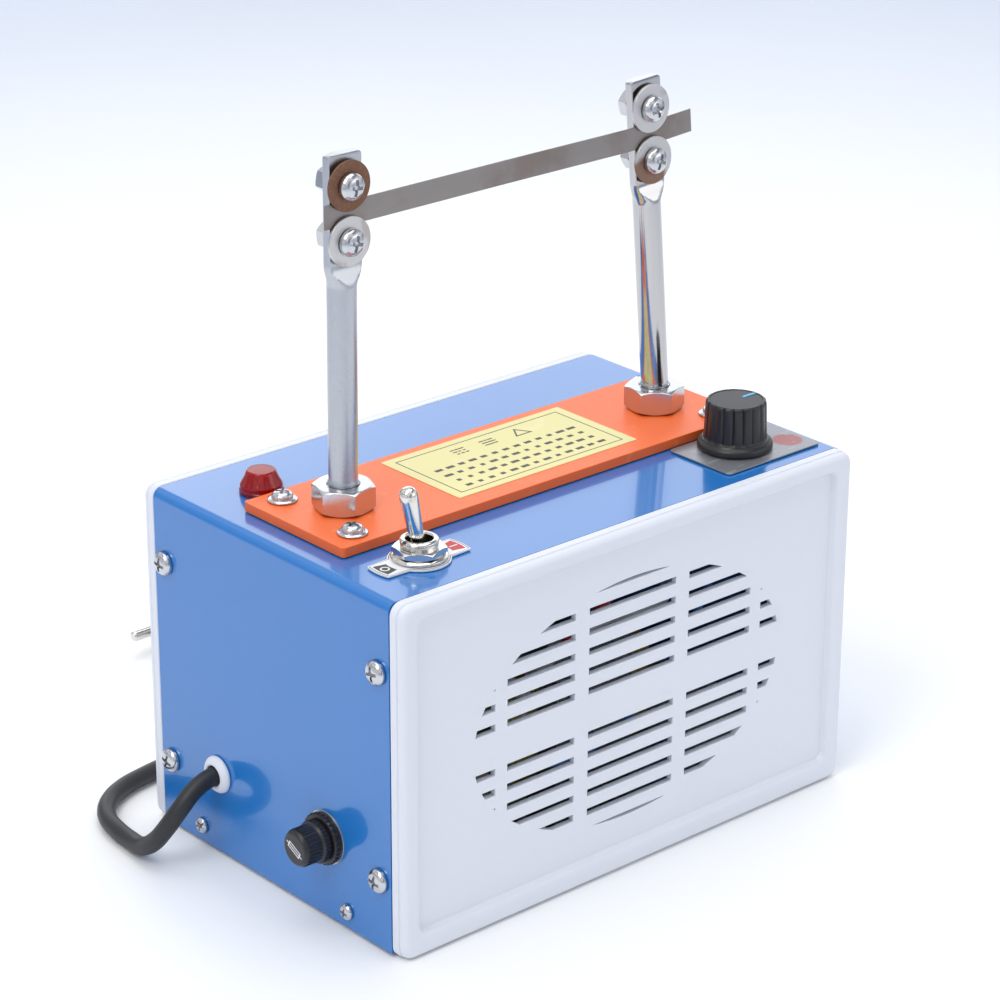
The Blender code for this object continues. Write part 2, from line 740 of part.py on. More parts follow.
def post_nuts(name, side):
    """The nut on the plate and the one below it, which stands in the case's opening."""
    x = TOP_CENTRE_X + side * POST_X
    half, height = POST_NUT
    start = 12.0 if side < 0 else 20.0
    nut(name + "_nut", half, height, NUT_BORE, (x, 0, PLATE_TOP + GAP), start=start)
    below = (x, 0, PLATE_BOTTOM - GAP - LOCKNUT_HEIGHT)
    nut(name + "_locknut", half, LOCKNUT_HEIGHT, NUT_BORE, below)


def clamp_hardware(name, clamp):
    """Two washers, screws and nuts that hold the blade against the post's flat."""
    face = -FLAT_FRONT
    washer_back = face - GAP - BLADE_THICKNESS - GAP
    washer_front = washer_back - WASHER_THICKNESS
    screw = screw_mesh(name + "_clamp_screw", (*CLAMP_HEAD, CLAMP_SHANK, CLAMP_SCREW_LENGTH))
    for label, z in (("lower", -CLAMP_SCREW), ("upper", CLAMP_SCREW)):
        bm = ring(CLAMP_HOLE, WASHER_RADIUS, 0, WASHER_THICKNESS, 20)
        finish(f"{name}_washer_{label}", bm, zinc(), (0, washer_back, z), TURN_Y, clamp)
        obj = place(f"{name}_screw_{label}", screw, zinc(), (0, washer_front - GAP, z), clamp)
        obj.rotation_euler = (math.radians(90), 0, 0)
        half, thickness = CLAMP_NUT
        spot = (0, FLAT_BACK + GAP + thickness, z)
        nut(f"{name}_nut_{label}", half, thickness, CLAMP_HOLE, spot, clamp, TURN_Y)


def blade(left, right):
    """A thin strip from one clamp to the other, with both ends past the posts."""
    bpy.context.view_layer.update()
    offset = -FLAT_FRONT - GAP - BLADE_THICKNESS / 2
    start = left.matrix_world @ Vector((0, offset, 0))
    end = right.matrix_world @ Vector((0, offset, 0))
    left_out = left.matrix_world.to_3x3() @ Vector((1, 0, 0))
    right_out = right.matrix_world.to_3x3() @ Vector((1, 0, 0))
    reach = WASHER_RADIUS + 1.0 * MM
    middle = (start + end) / 2 + Vector((0, -BLADE_BOW, 0))
    line = [
        start + left_out * (BLADE_ENDS[0] - start.x),
        start,
        start + left_out * reach,
        middle,
        end - right_out * reach,
        end,
        end + right_out * (BLADE_ENDS[1] - end.x),
    ]
    ups = [left.matrix_world.to_3x3() @ Vector((0, 0, 1))] * 3
    tops = [right.matrix_world.to_3x3() @ Vector((0, 0, 1))] * 3
    ups += [(ups[0] + tops[0]).normalized()] + tops
    corners = [(-1, -1), (1, -1), (1, 1), (-1, 1)]
    rings = []
    for point, up in zip(line, ups):
        half_height = up * (BLADE_WIDTH / 2)
        half_thickness = Vector((1, 0, 0)).cross(up).normalized() * (BLADE_THICKNESS / 2)
        rings.append([point + u * half_thickness + v * half_height for u, v in corners])
    finish("blade", skin(rings), blade_steel())


def posts_and_blade():
    left = post("post_left", -1, LEFT_LEAN)
    right = post("post_right", 1, RIGHT_LEAN)
    for name, side, clamp in (("post_left", -1, left), ("post_right", 1, right)):
        post_nuts(name, side)
        clamp_hardware("blade" + name[4:], clamp)
    blade(left, right)


def lamp():
    profile = [
        (0, 0),
        (LAMP_RADIUS, 0),
        (LAMP_RADIUS, LAMP_RIM_HEIGHT),
        LAMP_SHOULDER,
        (LAMP_FACE + 0.5 * MM, LAMP_HEIGHT - 0.5 * MM),
        (LAMP_FACE, LAMP_HEIGHT),
        (0, LAMP_HEIGHT),
    ]
    red = material("red_lens", (0.6, 0.01, 0.01), 0.12)
    finish("lamp_lens", moved(turned(profile), (0, 0, GAP)), red, LAMP)
    radius, length = LAMP_HOLDER
    finish("lamp_holder", rod(radius, -length, 0, 16), black_plastic(), LAMP)


def toggle_switch():
    nickel = material("nickel", (0.75, 0.74, 0.72), 0.2, 1.0)
    stem, length = SWITCH_STEM
    below = -SHEET - 2 * GAP
    rim = BUSHING_HEIGHT
    body = turned(
        [
            (0, -length),
            (stem, -length),
            (stem, below),
            (BUSHING_RADIUS, below),
            (BUSHING_RADIUS, rim - 0.7 * MM),
            (BUSHING_RADIUS - 0.5 * MM, rim),
            (BUSHING_BORE, rim),
            (BUSHING_BORE, BUSHING_FLOOR),
            (0, BUSHING_FLOOR),
        ]
    )
    obj = finish("toggle_body", body, nickel, SWITCH)
    case = box(SWITCH_BODY, SWITCH + Vector((0, 0, SWITCH_BODY_MIDDLE)))
    combine(obj, case, "UNION", "housing")
    switch_label()
    flange, thickness = SWITCH_NUT_FLANGE
    base = LABEL_PLATE + 2 * GAP
    fixing = finish("toggle_nut", ring(stem, flange, base, base + thickness), nickel, SWITCH)
    hexed = prism(hexagon(SWITCH_NUT_FLATS, 18.0), base + 1.0 * MM, base + SWITCH_NUT_HEIGHT)
    combine(fixing, moved(hexed, SWITCH), "UNION", "hexagon")
    combine(fixing, moved(rod(stem, -WALL_CUT, 2 * WALL_CUT), SWITCH), label="bore")
    toggle_lever(nickel)


def switch_label():
    """A thin round plate with a tab for the off side and one for the on side."""
    radius = SWITCH_LABEL_RADIUS
    outline = rounded_rectangle(radius + 0.8 * MM, -radius, radius, radius - 0.1 * MM, 6)
    disc = prism(outline, GAP, GAP + LABEL_PLATE)
    plate = finish("toggle_plate", disc, material("white_label", (0.9, 0.9, 0.9), 0.4), SWITCH)
    tabs = box((*SWITCH_LABEL_TABS, LABEL_PLATE), SWITCH + Vector((0, 0, GAP + LABEL_PLATE / 2)))
    combine(plate, tabs, "UNION", "tabs")
    combine(plate, moved(rod(SWITCH_HOLE, -2 * MM, 2 * MM), SWITCH), label="hole")


def toggle_lever(nickel):
    """The lever, with its origin on the pivot and leaning to the off side."""
    tail, ball, neck, tip = LEVER_RADII
    profile = [(0, -ball), (tail, -1.8 * MM), (ball, 0), (neck, 1.8 * MM)]
    profile += [(neck + 0.1 * MM, 4.0 * MM), (tip, LEVER_LENGTH - 2.4 * MM)]
    profile += [(0.85 * tip, LEVER_LENGTH - 0.9 * MM), (0.5 * tip, LEVER_LENGTH - 0.2 * MM)]
    profile += [(0, LEVER_LENGTH)]
    pivot = SWITCH + Vector((0, 0, SWITCH_PIVOT))
    lever = finish("toggle_lever", turned(profile, 16), nickel, pivot)
    lever.rotation_euler = (0, -SWITCH_TILT, 0)


def fluted(radius, height, depth=0.0):
    """A ring of points about Z, with every other point set in by a flute's depth."""
    steps = 2 * KNOB_FLUTES
    radii = [radius - depth * (step % 2) for step in range(steps)]
    angles = [2 * math.pi * step / steps for step in range(steps)]
    return [(r * math.cos(a), r * math.sin(a), height) for r, a in zip(radii, angles)]


def knob_and_dial():
    """The heat knob over its shaft and control, with the plain plate under it."""
    foot = 3 * GAP + LABEL_PLATE
    cup = foot + KNOB_CUP_DEPTH
    cup_top = foot + KNOB_CUP_TOP
    shoulder = foot + 3.0 * MM
    top = foot + KNOB_HEIGHT - 0.8 * MM
    rings = [
        fluted(KNOB_BORE, cup_top),
        fluted(KNOB_BORE, cup),
        fluted(KNOB_CUP, cup),
        fluted(KNOB_CUP, foot),
        fluted(KNOB_SKIRT, foot),
        fluted(KNOB_SKIRT, foot + 1.2 * MM),
        fluted(KNOB_RADIUS + 0.9 * MM, shoulder),
        fluted(KNOB_RADIUS + 0.3 * MM, shoulder + 0.4 * MM, KNOB_FLUTE_DEPTH),
        fluted(KNOB_RADIUS - 0.2 * MM, top - 0.8 * MM, KNOB_FLUTE_DEPTH),
        fluted(KNOB_RADIUS - 1.0 * MM, top, 0.1 * MM),
        fluted(KNOB_RADIUS - 2.2 * MM, top),
        fluted(KNOB_RADIUS - 2.6 * MM, top - 0.4 * MM),
    ]
    finish("knob", skin(rings), black_plastic(), KNOB)
    shaft = rod(KNOB_SHAFT_RADIUS, cup, cup_top - GAP, 16)
    finish("knob_shaft", shaft, material("aluminium", (0.75, 0.76, 0.78), 0.3, 1.0), KNOB)
    control = [
        (0, -DIMMER_DEPTH),
        (DIMMER_RADIUS, -DIMMER_DEPTH),
        (DIMMER_RADIUS, -SHEET - GAP),
        (DIMMER_STEM, -SHEET - GAP),
        (DIMMER_STEM, cup - GAP),
        (0, cup - GAP),
    ]
    finish("dimmer_control", turned(control), zinc(), KNOB)
    half_x, half_y = DIAL_SIZE[0] / 2, DIAL_SIZE[1] / 2
    dial = prism(rounded_rectangle(half_x, -half_y, half_y, 1.6 * MM, 3), GAP, GAP + LABEL_PLATE)
    grey = material("dial_grey", (0.42, 0.43, 0.47), 0.4, 0.6)
    plate = finish("dial_plate", dial, grey, (*DIAL_CENTRE, CASE_TOP))
    combine(plate, down(KNOB_HOLE, KNOB.x, KNOB.y), label="hole")


def fuse():
    """Along the fuse's own axis, +Z points out of the case's -X wall."""
    spot = (-SIDE, FUSE_Y, FUSE_Z)
    flange, front = FUSE_FLANGE
    floor = FUSE_HOLDER_END - FUSE_HOLDER_LENGTH
    holder = [
        (0, -FUSE_HOLDER_LENGTH),
        (FUSE_HOLDER_RADIUS, -FUSE_HOLDER_LENGTH),
        (FUSE_HOLDER_RADIUS, GAP),
        (flange, GAP),
        (flange, front - 0.3 * MM),
        (flange - 0.5 * MM, front),
        (FUSE_BORE, front),
        (FUSE_BORE, floor),
        (0, floor),
    ]
    finish("fuse_holder", turned(holder), black_plastic(), spot, TURN_X)
    stem, depth = FUSE_CAP_STEM
    rim, shoulder = FUSE_CAP_RIM
    socket, socket_end = FUSE_CAP_SOCKET
    cap = [
        (socket, -depth),
        (stem, -depth),
        (stem, front + GAP),
        (rim, front + GAP),
        (rim, shoulder),
        (FUSE_CAP_RADIUS, shoulder + 0.5 * MM),
        (FUSE_CAP_RADIUS - 0.2 * MM, FUSE_CAP_LENGTH - 0.6 * MM),
        (FUSE_CAP_RADIUS - 0.8 * MM, FUSE_CAP_LENGTH),
        (0, FUSE_CAP_LENGTH),
        (0, socket_end),
        (socket, socket_end),
    ]
    finish("fuse_cap", turned(cap), black_plastic(), spot, TURN_X)
    radius, length = FUSE_TUBE
    tube = rod(radius, FUSE_TUBE_END - length, FUSE_TUBE_END, 16)
    finish("fuse_tube", tube, material("fuse_glass", (0.8, 0.85, 0.85), 0.05), spot, TURN_X)


def cord_bushing():
    """A round-edged sleeve that keeps the lead off the sheet."""
    stem, depth = CORD_BUSHING_STEM
    head, height = CORD_BUSHING_HEAD
    profile = [
        (CORD_BUSHING_BORE, -depth),
        (stem, -depth),
        (stem, GAP),
        (head, GAP),
        (head, height - 1.4 * MM),
        (head - 0.9 * MM, height - 0.4 * MM),
        (head - 2.1 * MM, height),
    ]
    finish("cord_bushing", turned(profile), white_plastic(), BUSHING_HOLE, TURN_X)


def smooth_route(points, spacing):
    """Points a set distance apart on a smooth curve through the given points."""
    knots = [Vector(point) * MM for point in points]
    padded = [2 * knots[0] - knots[1]] + knots + [2 * knots[-1] - knots[-2]]
    fine = []
    for a, b, c, d in zip(padded, padded[1:], padded[2:], padded[3:]):
        for step in range(12):
            t = step / 12
            bend = (2 * a - 5 * b + 4 * c - d) * t * t + (3 * b - a - 3 * c + d) * t**3
            fine.append((2 * b + (c - a) * t + bend) / 2)
    fine.append(knots[-1])
    length = sum((q - p).length for p, q in zip(fine, fine[1:]))
    count = round(length / spacing)
    even = [fine[0]]
    walked = 0.0
    for p, q in zip(fine, fine[1:]):
        step = (q - p).length
        while len(even) < count and walked + step >= len(even) * length / count:
            even.append(p.lerp(q, (len(even) * length / count - walked) / step))
        walked += step
    return even + [fine[-1]]


def power_cord():
    """The lead from the bushing to the coil, as a plain tube."""
    curve = bpy.data.curves.new("power_cord", "CURVE")
    curve.dimensions = "3D"
    curve.bevel_depth = CORD_RADIUS
    curve.bevel_resolution = 2
    curve.use_fill_caps = True
    points = smooth_route(CORD_ROUTE, 4.0 * CORD_RADIUS)
    spline = curve.splines.new("POLY")
    spline.points.add(len(points) - 1)
    for target, point in zip(spline.points, points):
        target.co = (*point, 1.0)
    obj = bpy.data.objects.new("power_cord", curve)
    curve.materials.append(black_plastic())
    bpy.context.scene.collection.objects.link(obj)


def cord_coil():
    """The outer shape of the wound lead behind the case."""
    inner, outer = COIL_RADII
    bm = ring(inner, outer, 0.2 * MM, COIL_HEIGHT, 32)
    finish("cord_coil", bm, black_plastic(), (*COIL_CENTRE, 0))


def mains_plug():
    """A plain two-pin moulded plug lying on the floor beside the coil, pins towards -X."""
    back, middle, front = PLUG_SLEEVE
    length = PLUG_SLEEVE_LENGTH
    profile = [(0, 0), (back, 0), (middle, length - 4 * MM), (front, length), (0, length)]
    plug = finish("mains_plug", turned(profile, 16), black_plastic(), PLUG_BACK, TURN_X)
    outline = rounded_rectangle(PLUG_WIDTH / 2, *PLUG_BODY, PLUG_CORNER)
    body = prism(outline, -PLUG_THICKNESS / 2, PLUG_THICKNESS / 2)
    flat = Matrix.Rotation(math.radians(90), 4, "Z")
    combine(plug, moved(body, PLUG_BACK, flat), "UNION", "body")
    root = PLUG_BODY[1] - 2 * MM
    profile = [(0, root), (PIN_RADIUS, root), (PIN_RADIUS, PIN_END - 1 * MM), (0, PIN_END)]
    pins = [
        moved(turned(profile, SMALL_ROUND), PLUG_BACK + Vector((0, side * PIN_SPACING / 2, 0)), TURN_X)
        for side in (-1, 1)
    ]
    combine(plug, join(*pins), "UNION", "pins")


def transformer():
    """A laminated core with a taped coil round its middle leg, standing on the tray."""
    depth, width, height = CORE_SIZE
    length, coil_width, coil_height = COIL_SIZE
    steel = material("lamination_steel", (0.35, 0.36, 0.38), 0.5, 0.8)
    core = finish("transformer_core", box(CORE_SIZE, (0, 0, 0)), steel, CORE_CENTRE)
    window = box((2 * depth, coil_width + 1 * MM, coil_height + 1 * MM), CORE_CENTRE)
    combine(core, window, label="window")
    leg = box((depth, LEG_WIDTH, coil_height + 6 * MM), CORE_CENTRE)
    combine(core, leg, "UNION", "leg")
    half = coil_height / 2
    wound = prism(rounded_rectangle(coil_width / 2, -half, half, 5 * MM, 3), -length / 2, length / 2)
    turn = TURN_X @ Matrix.Rotation(math.radians(90), 4, "Z")
    tape = material("coil_tape", (0.62, 0.55, 0.2), 0.4)
    coil = finish("transformer_coil", wound, tape, CORE_CENTRE, turn)
    slot = box((depth + 2 * GAP, LEG_WIDTH + 2 * GAP, 2 * coil_height), CORE_CENTRE)
    combine(coil, slot, label="leg_slot")


def control_board():
    """The dimmer board on four standoffs, with its three largest components."""
    green = material("board_green", (0.05, 0.3, 0.12), 0.4)
    board = finish("control_board", box(BOARD_SIZE, (0, 0, 0)), green, BOARD_CENTRE)
    face = BOARD_SIZE[2] / 2 - SUNK
    heat_sink = box(HEAT_SINK, (*HEAT_SINK_PLACE, face + HEAT_SINK[2] / 2))
    radius, height = CAPACITOR
    capacitor = moved(rod(radius, 0, height, 16), (*CAPACITOR_PLACE, face))
    terminals = box(TERMINALS, (0, TERMINALS_Y, face + TERMINALS[2] / 2))
    components = join(heat_sink, capacitor, terminals)
    combine(board, moved(components, BOARD_CENTRE), "UNION", "components")
    pillars = [
        moved(rod(STANDOFF_RADIUS, SHEET + GAP, BOARD_CENTRE.z, 12), (x, y, 0))
        for x, y in standoff_places()
    ]
    combine(board, join(*pillars), "UNION", "standoffs")


def main():
    clear_scene()
    case_cover()
    base_tray()
    bezel("front_bezel", -1)
    bezel("rear_bezel", 1)
    case_screws()
    insulator_plate()
    posts_and_blade()
    lamp()
    toggle_switch()
    knob_and_dial()
    fuse()
    cord_bushing()
    power_cord()
    cord_coil()
    mains_plug()
    transformer()
    control_board()


main()
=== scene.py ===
"""Finished look of a bench-top hot cutter for ribbon and webbing.

Shapes are drawn in millimetres, and piece() turns each into metres. +Z is up, -Y is the front.
"""

import math
import random

import bmesh
import bpy
from mathutils import Matrix, Vector


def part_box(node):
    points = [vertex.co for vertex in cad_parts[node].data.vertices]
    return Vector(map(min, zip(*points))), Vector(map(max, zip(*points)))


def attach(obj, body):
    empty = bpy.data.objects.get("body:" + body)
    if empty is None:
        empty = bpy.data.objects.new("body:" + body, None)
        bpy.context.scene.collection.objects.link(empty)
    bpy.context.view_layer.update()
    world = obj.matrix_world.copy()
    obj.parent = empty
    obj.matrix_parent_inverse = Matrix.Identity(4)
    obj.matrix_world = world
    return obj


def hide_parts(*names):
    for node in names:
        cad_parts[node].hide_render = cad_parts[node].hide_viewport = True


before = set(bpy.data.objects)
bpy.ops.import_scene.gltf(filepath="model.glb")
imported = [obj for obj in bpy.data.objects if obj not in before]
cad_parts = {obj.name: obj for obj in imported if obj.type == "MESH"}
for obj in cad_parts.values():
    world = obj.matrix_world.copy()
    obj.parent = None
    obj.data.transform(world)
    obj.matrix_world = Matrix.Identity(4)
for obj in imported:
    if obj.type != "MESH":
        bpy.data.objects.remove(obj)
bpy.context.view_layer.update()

TO_METRES = Matrix.Scale(0.001, 4)
GAP = 0.3
SHARP = math.radians(35)

# Where the case, the posts and the controls stand.
SIDE = 93.0
CASE_DEPTH = 113.5
CASE_TOP = 115.0
CASE_BOTTOM = 1.2
SHEET = 1.2
BEND_RADIUS = 3.0
RECESS = (85.8, 8.2, 109.0)
RECESS_DEPTH = 2.5
BEZEL_HEIGHT = 115.2
BEZEL_DEPTH = 6.0
POST_RADIUS = 4.5
POST_FOOT = 101.0
POST_BEND = 128.2
FLAT_START = 196.2
FLAT_HALF_WIDTH, FLAT_FRONT, FLAT_BACK = 6.4, 2.2, 2.5
POST_TOP = 229.3
PRESSED_LENGTH = 7.6
CLAMP_Z = 211.6
CLAMP_SCREW = 8.4
CLAMP_HOLE = 2.75
WASHER_RADIUS = 7.7
WASHER_THICKNESS = 1.0
BLADE_THICKNESS = 0.4
BLADE_HALF_WIDTH = 3.7
BLADE_ENDS = (-71.0, 78.0)
BLADE_BOW = 0.5
LEANS = {"left": (0.5, 0.0), "right": (-3.6, -1.4)}
SWITCH_PIVOT = 2.8
SWITCH_TILT = 12.0

CORD_RADIUS = 3.0
CORD_ROUTE = [
    (-88.0, 27.0, 28.4),
    (-95.0, 27.0, 28.4),
    (-102.4, 27.0, 26.1),
    (-108.1, 27.6, 20.8),
    (-111.7, 30.1, 14.5),
    (-113.3, 34.7, 8.5),
    (-113.3, 41.2, 4.4),
    (-112.5, 48.8, 3.2),
    (-111.7, 57.0, 3.2),
    (-109.6, 65.0, 3.2),
    (-104.5, 72.6, 3.2),
    (-96.0, 78.4, 3.2),
    (-84.0, 81.6, 3.2),
    (-66.0, 83.2, 3.2),
    (-46.0, 82.6, 3.2),
    (-24.0, 79.6, 3.2),
    (-4.0, 76.4, 3.2),
    (12.0, 74.0, 3.2),
    (27.5, 73.0, 3.2),
    (40.0, 72.8, 3.2),
]
COIL_CENTRE = (52.0, 112.0)
COIL_RINGS = (39.2, 33.0, 26.8, 26.8, 33.0, 39.2)
COIL_LEVELS = (3.2, 9.3)
PLUG_BACK = Vector((28.0, 152.5, 8.8))

CORE_SLOT_DEPTH = 32.6
CORE_SLOT_WIDTH = 13.6
BOARD_TOP = 25.6
BOARD_THICKNESS = 1.6

TURN_X = Matrix.Rotation(math.radians(-90), 4, "Y")
TURN_Y = Matrix.Rotation(math.radians(90), 4, "X")


def spot(node):
    """The middle of a CAD node's box, in millimetres."""
    low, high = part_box(node)
    return (low + high) * 500.0


# ---------------------------------------------------------------- finishes


def effect(name, inputs, outputs):
    """An empty shader group with named sockets."""
    tree = bpy.data.node_groups.new(name, "ShaderNodeTree")
    kinds = {float: "NodeSocketFloat", tuple: "NodeSocketVector", list: "NodeSocketColor"}
    for label, value in inputs.items():
        socket = tree.interface.new_socket(label, in_out="INPUT", socket_type=kinds[type(value)])
        socket.default_value = value
    for label, value in outputs.items():
        tree.interface.new_socket(label, in_out="OUTPUT", socket_type=kinds[value])
    return tree, tree.nodes.new("NodeGroupInput").outputs, tree.nodes.new("NodeGroupOutput").inputs


def add(tree, kind, values=None, **settings):
    """A node with its sockets filled from values or linked from other nodes' outputs."""
    node = tree.nodes.new(kind)
    for label, value in settings.items():
        setattr(node, label, value)
    for key, value in (values or {}).items():
        for source in value if isinstance(value, list) and key != "Color" else [value]:
            if isinstance(source, bpy.types.NodeSocket):
                tree.links.new(source, node.inputs[key])
            else:
                node.inputs[key].default_value = source
    return next(output for output in node.outputs if output.enabled)


def drifting(tree, value, amount, noise):
    """value, plus or minus amount, as the noise goes from dark to light."""
    swing = add(tree, "ShaderNodeMath", {0: noise, 1: 0.5}, operation="SUBTRACT")
    swing = add(tree, "ShaderNodeMath", {0: swing, 1: amount}, operation="MULTIPLY")
    return add(tree, "ShaderNodeMath", {0: swing, 1: value}, operation="ADD", use_clamp=False)


def make_grain():
    """Slow drift of colour and roughness with a fine height, on the piece's own coordinates."""
    tree, given, made = effect(
        "fine_grain",
        {
            "Colour": [0.5, 0.5, 0.5, 1.0],
            "Drift": 0.1,
            "Roughness": 0.4,
            "Roughness Drift": 0.1,
            "Scale": 100.0,
            "Fine Scale": 900.0,
            "Stretch": (1.0, 1.0, 1.0),
        },
        {"Colour": list, "Roughness": float, "Height": float},
    )
    place = tree.nodes.new("ShaderNodeTexCoord").outputs["Object"]
    place = add(tree, "ShaderNodeVectorMath", {0: place, 1: given["Stretch"]}, operation="MULTIPLY")
    broad = add(tree, "ShaderNodeTexNoise", {"Vector": place, "Scale": given["Scale"], "Detail": 4.0})
    fine = add(
        tree, "ShaderNodeTexNoise", {"Vector": place, "Scale": given["Fine Scale"], "Detail": 3.0}
    )
    both = add(tree, "ShaderNodeMath", {0: broad, 1: fine}, operation="ADD")
    both = add(tree, "ShaderNodeMath", {0: both, 1: 0.5}, operation="MULTIPLY")
    value = drifting(tree, 1.0, given["Drift"], both)
    colour = add(tree, "ShaderNodeHueSaturation", {"Value": value, "Color": given["Colour"]})
    tree.links.new(colour, made["Colour"])
    tree.links.new(
        drifting(tree, given["Roughness"], given["Roughness Drift"], both), made["Roughness"]
    )
    tree.links.new(fine, made["Height"])
    return tree


def make_patches():
    """A second colour and roughness where a stretched noise is above a cover level."""
    tree, given, made = effect(
        "patches",
        {
            "Colour": [0.5, 0.5, 0.5, 1.0],
            "Patch Colour": [0.2, 0.1, 0.05, 1.0],
            "Roughness": 0.4,
            "Patch Roughness": 0.5,
            "Scale": 60.0,
            "Level": 0.55,
            "Softness": 0.05,
            "Amount": 1.0,
            "Stretch": (1.0, 1.0, 1.0),
            "Centre": (0.0, 0.0, 0.0),
            "Reach": 10.0,
            "Fade": 1.35,
        },
        {"Colour": list, "Roughness": float, "Mask": float},
    )
    own = tree.nodes.new("ShaderNodeTexCoord").outputs["Object"]
    place = add(tree, "ShaderNodeVectorMath", {0: own, 1: given["Stretch"]}, operation="MULTIPLY")
    noise = add(tree, "ShaderNodeTexNoise", {"Vector": place, "Scale": given["Scale"], "Detail": 5.0})
    top = add(tree, "ShaderNodeMath", {0: given["Level"], 1: given["Softness"]}, operation="ADD")
    mask = add(
        tree,
        "ShaderNodeMapRange",
        {"Value": noise, "From Min": given["Level"], "From Max": top},
        interpolation_type="SMOOTHSTEP",
    )
    near = tree.nodes.new("ShaderNodeVectorMath")
    near.operation = "DISTANCE"
    tree.links.new(own, near.inputs[0])
    tree.links.new(given["Centre"], near.inputs[1])
    outer = add(tree, "ShaderNodeMath", {0: given["Reach"], 1: given["Fade"]}, operation="MULTIPLY")
    inside = add(
        tree,
        "ShaderNodeMapRange",
        {
            "Value": near.outputs["Value"],
            "From Min": given["Reach"],
            "From Max": outer,
            "To Min": 1.0,
            "To Max": 0.0,
        },
        interpolation_type="SMOOTHSTEP",
    )
    mask = add(tree, "ShaderNodeMath", {0: mask, 1: inside}, operation="MULTIPLY")
    mask = add(tree, "ShaderNodeMath", {0: mask, 1: given["Amount"]}, operation="MULTIPLY")
    mixed = add_mix(tree, mask, given["Colour"], given["Patch Colour"])
    rough = add(tree, "ShaderNodeMix", {0: mask, 2: given["Roughness"], 3: given["Patch Roughness"]})
    tree.links.new(mixed, made["Colour"])
    tree.links.new(rough, made["Roughness"])
    tree.links.new(mask, made["Mask"])
    return tree


def add_mix(tree, share, first, second):
    """A colour part way from first to second."""
    node = tree.nodes.new("ShaderNodeMix")
    node.data_type = "RGBA"
    for socket, value in ((node.inputs[0], share), (node.inputs[6], first), (node.inputs[7], second)):
        if isinstance(value, bpy.types.NodeSocket):
            tree.links.new(value, socket)
        else:
            socket.default_value = value
    return node.outputs[2]


def make_bands():
    """Even bands along one axis, as a mask and a height, for wound tape and stacked sheets."""
    tree, given, made = effect(
        "bands",
        {"Axis": (1.0, 0.0, 0.0), "Pitch": 0.004, "Waver": 0.0004, "Share": 0.1},
        {"Mask": float, "Height": float},
    )
    own = tree.nodes.new("ShaderNodeTexCoord").outputs["Object"]
    along = tree.nodes.new("ShaderNodeVectorMath")
    along.operation = "DOT_PRODUCT"
    tree.links.new(own, along.inputs[0])
    tree.links.new(given["Axis"], along.inputs[1])
    wobble = add(tree, "ShaderNodeTexNoise", {"Vector": own, "Scale": 90.0, "Detail": 2.0})
    wobble = add(tree, "ShaderNodeMath", {0: wobble, 1: given["Waver"]}, operation="MULTIPLY")
    place = add(tree, "ShaderNodeMath", {0: along.outputs["Value"], 1: wobble}, operation="ADD")
    turns = add(tree, "ShaderNodeMath", {0: place, 1: given["Pitch"]}, operation="DIVIDE")
    part = add(tree, "ShaderNodeMath", {0: turns}, operation="FRACT")
    line = add(tree, "ShaderNodeMath", {0: part, 1: given["Share"]}, operation="LESS_THAN")
    tree.links.new(line, made["Mask"])
    tree.links.new(part, made["Height"])
    return tree


GRAIN = make_grain()
PATCHES = make_patches()
BANDS = make_bands()


def placed_group(tree, effect_tree, values):
    node = tree.nodes.new("ShaderNodeGroup")
    node.node_tree = effect_tree
    for label, value in values.items():
        if isinstance(value, bpy.types.NodeSocket):
            tree.links.new(value, node.inputs[label])
        else:
            node.inputs[label].default_value = value
    return node.outputs


def finish(
    name,
    colour,
    roughness,
    metallic=0.0,
    drift=0.06,
    unevenness=0.08,
    scale=90.0,
    fine=1500.0,
    stretch=(1.0, 1.0, 1.0),
    bump=0.0,
    patches=(),
    bands=None,
    band_colour=None,
    **constants,
):
    """A Principled material: grain, then patches over it, and a bump from the grain or the bands."""
    material = bpy.data.materials.new(name)
    material.use_nodes = True
    tree = material.node_tree
    shader = tree.nodes["Principled BSDF"]
    made = placed_group(
        tree,
        GRAIN,
        {
            "Colour": (*colour, 1.0),
            "Drift": drift,
            "Roughness": roughness,
            "Roughness Drift": unevenness,
            "Scale": scale,
            "Fine Scale": fine,
            "Stretch": stretch,
        },
    )
    shade, rough, height = made["Colour"], made["Roughness"], made["Height"]
    for patch in patches:
        patch = dict(patch)
        patch["Patch Colour"] = (*patch["Patch Colour"], 1.0)
        over = placed_group(tree, PATCHES, {"Colour": shade, "Roughness": rough, **patch})
        shade, rough = over["Colour"], over["Roughness"]
    if bands:
        over = placed_group(tree, BANDS, bands)
        shade = add_mix(tree, over["Mask"], shade, (*band_colour, 1.0))
        height = over["Height"]
    tree.links.new(shade, shader.inputs["Base Color"])
    tree.links.new(rough, shader.inputs["Roughness"])
    shader.inputs["Metallic"].default_value = metallic
    for label, value in constants.items():
        shader.inputs[label.replace("_", " ")].default_value = value
    if bump:
        node = tree.nodes.new("ShaderNodeBump")
        node.inputs["Strength"].default_value = 0.6
        node.inputs["Distance"].default_value = bump
        tree.links.new(height, node.inputs["Height"])
        tree.links.new(node.outputs["Normal"], shader.inputs["Normal"])
    return material


